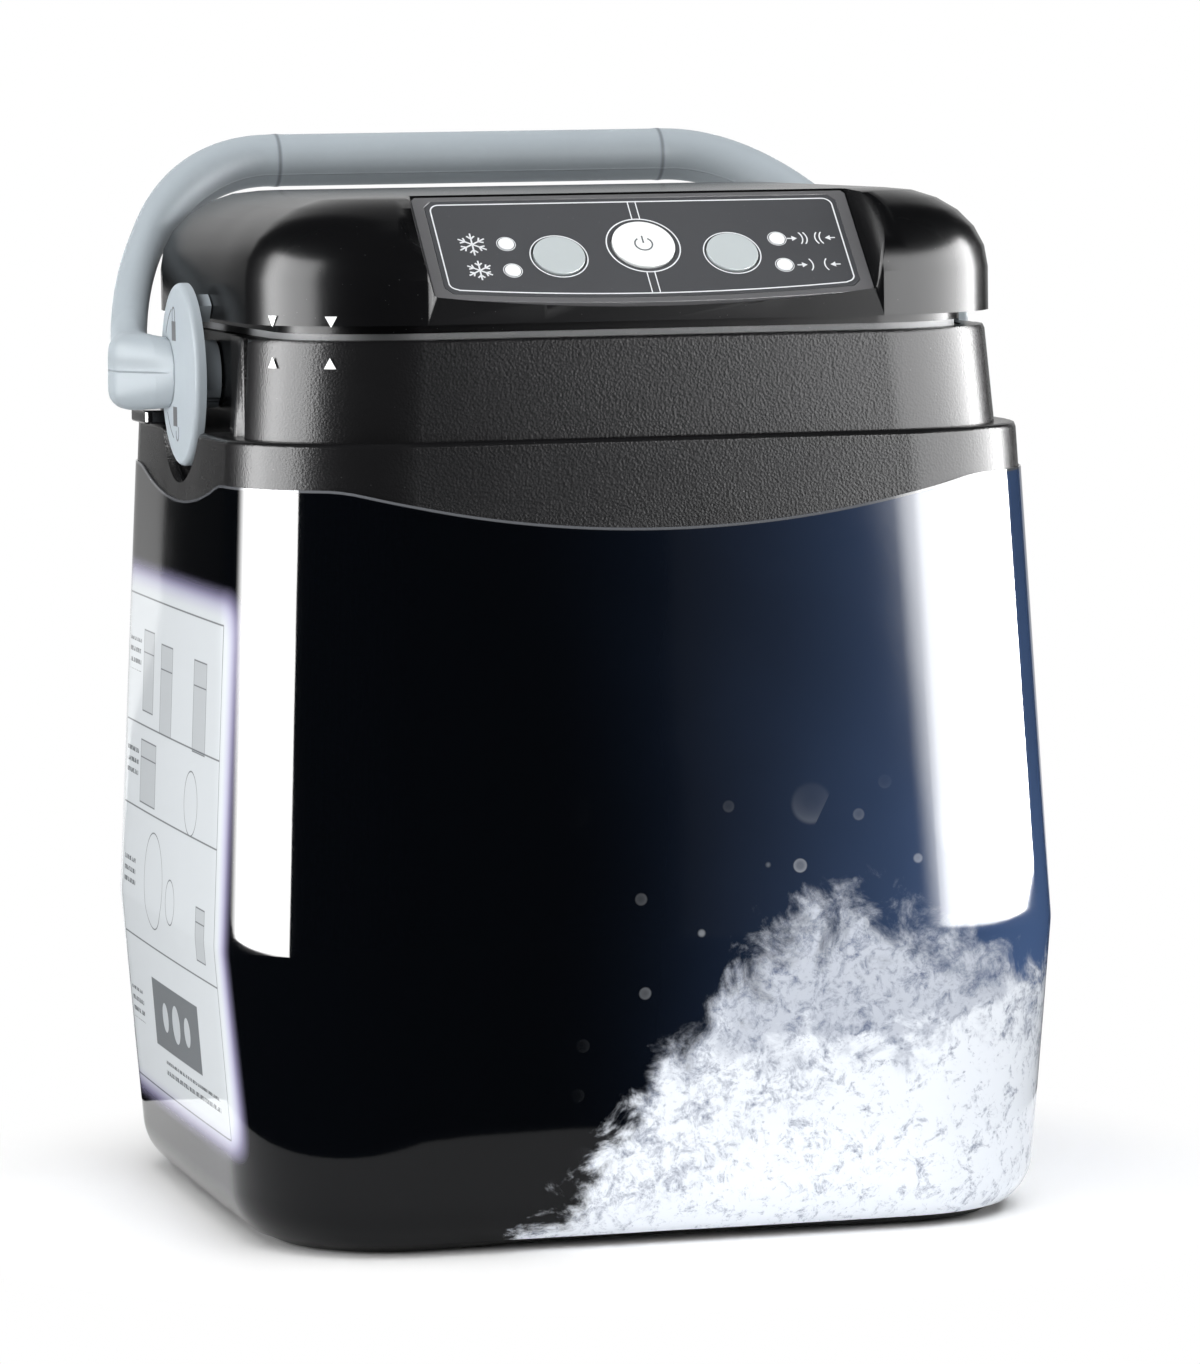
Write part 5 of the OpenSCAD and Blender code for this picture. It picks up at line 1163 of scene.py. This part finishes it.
class THERAPY_OT_panel(BuildStep):
    """Control panel with its film, printed signs, lamps and buttons"""
    bl_idname = "therapy.panel"
    bl_label = "Control panel"

    def make(self, context):
        colours = looks("panel_looks")
        dress(["control_bezel"], plastic("bezel_plastic", colours.bezel, 0.36, 1.4, 2600.0, 0.00001),
              35.0, 0.0003)
        dress(["panel_overlay"], plastic("panel_film", colours.label, 0.38, 1.4, 3000.0, 0.00001, 0.05),
              35.0)
        dress(["led_lenses"], plastic("lens_plastic", (0.80, 0.82, 0.84), 0.2, 1.45, marks=0.2),
              35.0, 0.0002)
        grey = plastic("button_plastic", colours.button, 0.4, 1.4, 3000.0, 0.00001, 0.04)
        dress(["cold_button", "compression_button"], grey, 35.0, 0.0003)
        white = plastic("power_plastic", (0.80, 0.82, 0.82), 0.35, 1.4, 3000.0, 0.00001, 0.04)
        dress(["power_button"], white, 35.0, 0.0003)
        ink = plastic("panel_ink", colours.ink, 0.45, 1.35, marks=0.2)
        fit(self.signs().piece("panel_print", PANEL_MATRIX @ Matrix.Translation((0, 0, -0.1 * MM))),
            "lid", ink)
        dark = plastic("power_ink", (0.10, 0.11, 0.12), 0.45, 1.35, marks=0.2)
        fit(self.power_sign().piece("power_print", PANEL_MATRIX @ Matrix.Translation((0, 0, 0.5 * MM))),
            "power_button", dark)

    def signs(self):
        """Everything printed light on the film: border, dividers, rings, frost and squeeze signs."""
        sheet = FlatPrint()
        half, low, high = OVERLAY_HALF / MM, OVERLAY_V[0] / MM, OVERLAY_V[1] / MM
        sheet.line(panel_edge(half - 1.3, low + 1.3, high - 1.3, 2.4, PANEL_BOW / MM), 0.36, closed=True)
        power_v, power_r = POWER_V / MM, POWER_R / MM
        sheet.arc(0, power_v, power_r + 1.4, 0, 360, 0.34, 64)
        for u in (-1.05, 1.05):
            sheet.line([(u, power_v + power_r + 1.5), (u, high - 1.5)], 0.28)
            sheet.line([(u, low - PANEL_BOW / MM + 1.6), (u, power_v - power_r - 1.5)], 0.28)
        for side in (-1, 1):
            sheet.arc(side * BUTTON_U / MM, BUTTON_V / MM, BUTTON_R / MM + 0.75, 0, 360, 0.3, 56)
            for v in LED_V:
                sheet.arc(side * LED_U / MM, v / MM, 2.1 + 0.35, 0, 360, 0.18, 28)
        flake(sheet, -45.1, 21.6, 4.0, 0.42)
        flake(sheet, -44.8, 12.1, 3.5, 0.42)
        for v, gap, bows in ((21.5, 1.1, 2), (11.7, 1.6, 1)):
            for side in (-1, 1):
                for k in range(bows):
                    x = 45.4 + side * (gap + 1.2 * k)
                    middle = 0 if side < 0 else 180
                    sheet.arc(x + side * 3.4, v, 3.4, middle - 38, middle + 38, 0.34, 14)
                arrow(sheet, 45.4 + side * (gap + 1.2 * bows + 3.0), v, 1.6, -side, 0.34)
        return sheet

    def power_sign(self):
        sheet = FlatPrint()
        power_v = POWER_V / MM
        sheet.arc(0, power_v, 2.3, 125, 415, 0.42, 30)
        sheet.line([(0, power_v + 0.3), (0, power_v + 2.9)], 0.42)
        return sheet


class THERAPY_OT_works(BuildStep):
    """Hose socket, its release latch, the power inlet and what lies in the lid and the tank"""
    bl_idname = "therapy.works"
    bl_label = "Socket and inner works"

    def make(self, context):
        dark = plastic("socket_plastic", (0.018, 0.019, 0.021), 0.4, 1.4)
        dress(["hose_socket", "power_inlet"], dark, 35.0, 0.0002)
        grey = plastic("latch_plastic", looks("handle_looks").plastic, 0.36, 1.42)
        dress(["release_latch"], grey, 35.0, 0.0002)
        works = plastic("works_plastic", (0.022, 0.024, 0.027), 0.42, 1.4)
        dress(["pump_stem", "pump_housing", "pump_strainer", "compressor_body", "diaphragm_head",
               "tact_switches"], works, 35.0, 0.0002)
        dress(["air_valve"], plastic("valve_plastic", (0.07, 0.09, 0.12), 0.4, 1.4), 35.0)
        can = metal("motor_can", (0.45, 0.46, 0.48), 0.32)
        dress(["pump_motor", "compressor_motor"], can, 35.0, 0.0004)
        dress(["crank"], metal("crank_steel", (0.6, 0.61, 0.62), 0.25), 35.0, 0.0002)
        spring = finished_copy("latch_spring", 70.0)
        fit(spring, body_of_node("latch_spring"), metal("spring_steel", (0.62, 0.63, 0.65), 0.22),
            ["latch_spring"])
        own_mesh(spring)
        dress(["impeller"], plastic("impeller_plastic", (0.72, 0.72, 0.70), 0.4, 1.45),
              35.0, 0.0001)
        dress(["supply_tube", "return_tube", "air_tube"],
              plastic("tube_plastic", (0.60, 0.64, 0.67), 0.25, 1.45), 50.0)
        dress(["wiring_harness"], plastic("wire_sheath", (0.35, 0.03, 0.02), 0.45, 1.45), 60.0)
        dress(["control_board"], plastic("board_resin", (0.012, 0.10, 0.04), 0.35, 1.45), 35.0)


class THERAPY_OT_stage(BuildStep):
    """Camera, pale floor and soft studio light"""
    bl_idname = "therapy.stage"
    bl_label = "Stage"

    def make(self, context):
        self.camera()
        self.floor()
        self.world()
        level = looks("stage_looks")
        self.lamp("overhead_lamp", (0.0, -0.35, 1.7), (0, 0, 0.1), (1.6, 1.3), level.overhead)
        self.lamp("front_lamp", (-0.9, -1.9, 1.2), (0, 0, 0.12), (1.2, 1.2), level.front)
        self.lamp("side_lamp", (-1.7, -0.3, 0.5), (0, 0, 0.12), (0.9, 0.9), level.side)
        self.card("left_card", (-128, -71), 1.0, 0.6, (0.0, 0.35), (0.0, 0.35), 0.0)
        self.card("right_card", (14, 108), 1.2, 0.62, (0.0, 0.036), (0.03, 0.094), 0.07)
        self.flag()

    def camera(self):
        data = bpy.data.cameras.new("view_camera")
        data.sensor_width = SENSOR
        data.lens = FOCAL_PIXELS * SENSOR / max(IMAGE_SIZE)
        data.clip_start, data.clip_end = 0.05, 50.0
        camera = new_object("view_camera", data)
        az, el, roll = CAMERA_AZIMUTH, CAMERA_ELEVATION, CAMERA_ROLL
        back = Vector((-math.sin(az) * math.cos(el), -math.cos(az) * math.cos(el), math.sin(el)))
        right = Vector((math.cos(az), -math.sin(az), 0.0))
        up = right.cross(-back)
        level_right = math.cos(roll) * right + math.sin(roll) * up
        level_up = -math.sin(roll) * right + math.cos(roll) * up
        place = right * CAMERA_AIM[0] + Vector((0, 0, CAMERA_AIM[1])) + back * CAMERA_DISTANCE
        axes = Matrix((level_right, level_up, back)).transposed().to_4x4()
        camera.matrix_world = Matrix.Translation(place) @ axes
        bpy.context.scene.camera = camera

    def floor(self):
        bm = bmesh.new()
        bmesh.ops.create_grid(bm, x_segments=1, y_segments=1, size=6.0)
        floor = object_from_bmesh("floor", bm)
        material, tree, shader = new_material("pale_floor")
        place = object_place(tree)
        cloud = noise_of(tree, place, 3.0, 2.0)
        tree.links.new(blend_colour(tree, cloud, (0.88, 0.88, 0.88), (0.92, 0.92, 0.92)),
                       shader.inputs["Base Color"])
        shader.inputs["Roughness"].default_value = 0.9
        shader.inputs["Specular IOR Level"].default_value = 0.0
        seen = add(tree, "ShaderNodeLightPath").outputs["Is Camera Ray"]
        away = add(tree, "ShaderNodeVectorMath", {0: place}, operation="LENGTH").outputs["Value"]
        far = remap(tree, away, 0.12, 0.20, smooth=True)
        white = add(tree, "ShaderNodeEmission", {"Color": (1, 1, 1, 1), "Strength": 1.0})
        seen_far = add(tree, "ShaderNodeMixShader", {0: maths(tree, "MULTIPLY", seen, far),
                                                 1: shader.outputs[0], 2: white.outputs[0]})
        tree.links.new(seen_far.outputs[0], tree.nodes["Material Output"].inputs["Surface"])
        floor.data.materials.append(material)

    def flag(self):
        """A dark tent behind the camera and on the floor before it, seen only as a reflection."""
        bm = bmesh.new()
        rises = [math.radians(12 * k) for k in range(1, 8)]
        rows = []
        for radius, height in [(0.20, 0.002), (TENT_REACH, 0.002)] + [
                (TENT_REACH * math.cos(a), TENT_REACH * math.sin(a)) for a in rises]:
            rows.append([bm.verts.new((radius * math.sin(a), -radius * math.cos(a), height))
                         for a in (math.radians(-167 + 307 * k / 72) for k in range(73))])
        for low, high in zip(rows, rows[1:]):
            for k in range(72):
                bm.faces.new([low[k], low[k + 1], high[k + 1], high[k]])
        flag = object_from_bmesh("dark_flag", bm)
        material, tree, shader = new_material("flag_cloth")
        shader.inputs["Base Color"].default_value = (0.01, 0.01, 0.01, 1)
        shader.inputs["Specular IOR Level"].default_value = 0.0
        shader.inputs["Roughness"].default_value = 1.0
        flag.data.materials.append(material)
        self.only_mirrored(flag)

    def only_mirrored(self, card):
        card.visible_camera = card.visible_diffuse = card.visible_shadow = False
        card.visible_transmission = False

    def world(self):
        world = bpy.data.worlds.new("studio")
        world.use_nodes = True
        tree = world.node_tree
        background = tree.nodes["Background"]
        path = add(tree, "ShaderNodeLightPath").outputs
        seen = maths(tree, "MAXIMUM", maths(tree, "MAXIMUM", path["Is Camera Ray"], path["Is Glossy Ray"]),
                     path["Is Transmission Ray"])
        strength = remap(tree, seen, 0.0, 1.0, looks("stage_looks").ambient, 1.0)
        background.inputs["Color"].default_value = (1, 1, 1, 1)
        tree.links.new(strength, background.inputs["Strength"])
        bpy.context.scene.world = world
        bpy.context.scene.view_settings.view_transform = "Standard"

    def lamp(self, name, place, aim, size, power):
        """A soft rectangular lamp that lights the object evenly and isn't mirrored in it."""
        data = bpy.data.lights.new(name, "AREA")
        data.shape = "RECTANGLE"
        data.size, data.size_y = size
        data.energy = power
        lamp = new_object(name, data)
        lamp.location = place
        lamp.rotation_euler = (Vector(aim) - Vector(place)).to_track_quat("-Z", "Y").to_euler()
        lamp.visible_glossy = False

    def card(self, name, arc, radius, low, first, second, slant):
        """A tall bright card round the object, seen only as a reflection.

        Its brightness rises to the share low over the first part of its width, and to all of it over
        the second; slant moves both parts along towards the card's foot.
        """
        steps = 16
        bm = bmesh.new()
        fade = bm.loops.layers.uv.new("fade")
        angles = [math.radians(arc[0] + (arc[1] - arc[0]) * k / steps) for k in range(steps + 1)]
        rows = [[bm.verts.new((radius * math.sin(a), -radius * math.cos(a), height)) for a in angles]
                for height in CARD_HEIGHTS]
        for k in range(steps):
            face = bm.faces.new([rows[0][k], rows[0][k + 1], rows[1][k + 1], rows[1][k]])
            for loop, corner in zip(face.loops, ((k, 0), (k + 1, 0), (k + 1, 1), (k, 1))):
                loop[fade].uv = (corner[0] / steps, corner[1])
        card = object_from_bmesh(name, bm)
        material, tree, shader = new_material(name)
        place = add(tree, "ShaderNodeUVMap", uv_map="fade").outputs["UV"]
        across, up, _ = add(tree, "ShaderNodeSeparateXYZ", {"Vector": place}).outputs
        foot = maths(tree, "SUBTRACT", 1.0, up)
        moved = maths(tree, "SUBTRACT", across, maths(tree, "MULTIPLY", foot, slant))
        level = maths(tree, "ADD", remap(tree, moved, *first, 0.0, low, smooth=True),
                      remap(tree, moved, *second, 0.0, 1.0 - low, smooth=True))
        shader.inputs["Base Color"].default_value = (0, 0, 0, 1)
        shader.inputs["Emission Color"].default_value = (1, 1, 1, 1)
        strength = maths(tree, "MULTIPLY", level, looks("stage_looks").sheen)
        tree.links.new(strength, shader.inputs["Emission Strength"])
        card.data.materials.append(material)
        self.only_mirrored(card)


STEPS = [THERAPY_OT_stage, THERAPY_OT_case, THERAPY_OT_sleeve, THERAPY_OT_handle, THERAPY_OT_lid,
         THERAPY_OT_panel, THERAPY_OT_works]


class THERAPY_PT_steps(bpy.types.Panel):
    """Steps and looks of the therapy unit"""
    bl_idname = "THERAPY_PT_steps"
    bl_label = "Therapy unit"
    bl_space_type = "VIEW_3D"
    bl_region_type = "UI"
    bl_category = "Therapy unit"

    def draw(self, context):
        for name in LOOKS:
            box = self.layout.box()
            settings = looks(name)
            for key in settings.__annotations__:
                box.prop(settings, key)
        for step in STEPS:
            self.layout.operator(step.bl_idname, text=step.bl_label)


def register():
    for name, kind in LOOKS.items():
        bpy.utils.register_class(kind)
        setattr(bpy.types.Scene, name, bpy.props.PointerProperty(type=kind))
    for kind in STEPS + [THERAPY_PT_steps]:
        bpy.utils.register_class(kind)


def unregister():
    for kind in reversed(STEPS + [THERAPY_PT_steps]):
        bpy.utils.unregister_class(kind)
    for name, kind in reversed(list(LOOKS.items())):
        delattr(bpy.types.Scene, name)
        bpy.utils.unregister_class(kind)


def main():
    register()
    for step in STEPS:
        area, name = step.bl_idname.split(".")
        getattr(getattr(bpy.ops, area), name)()


if __name__ == "__main__":
    main()
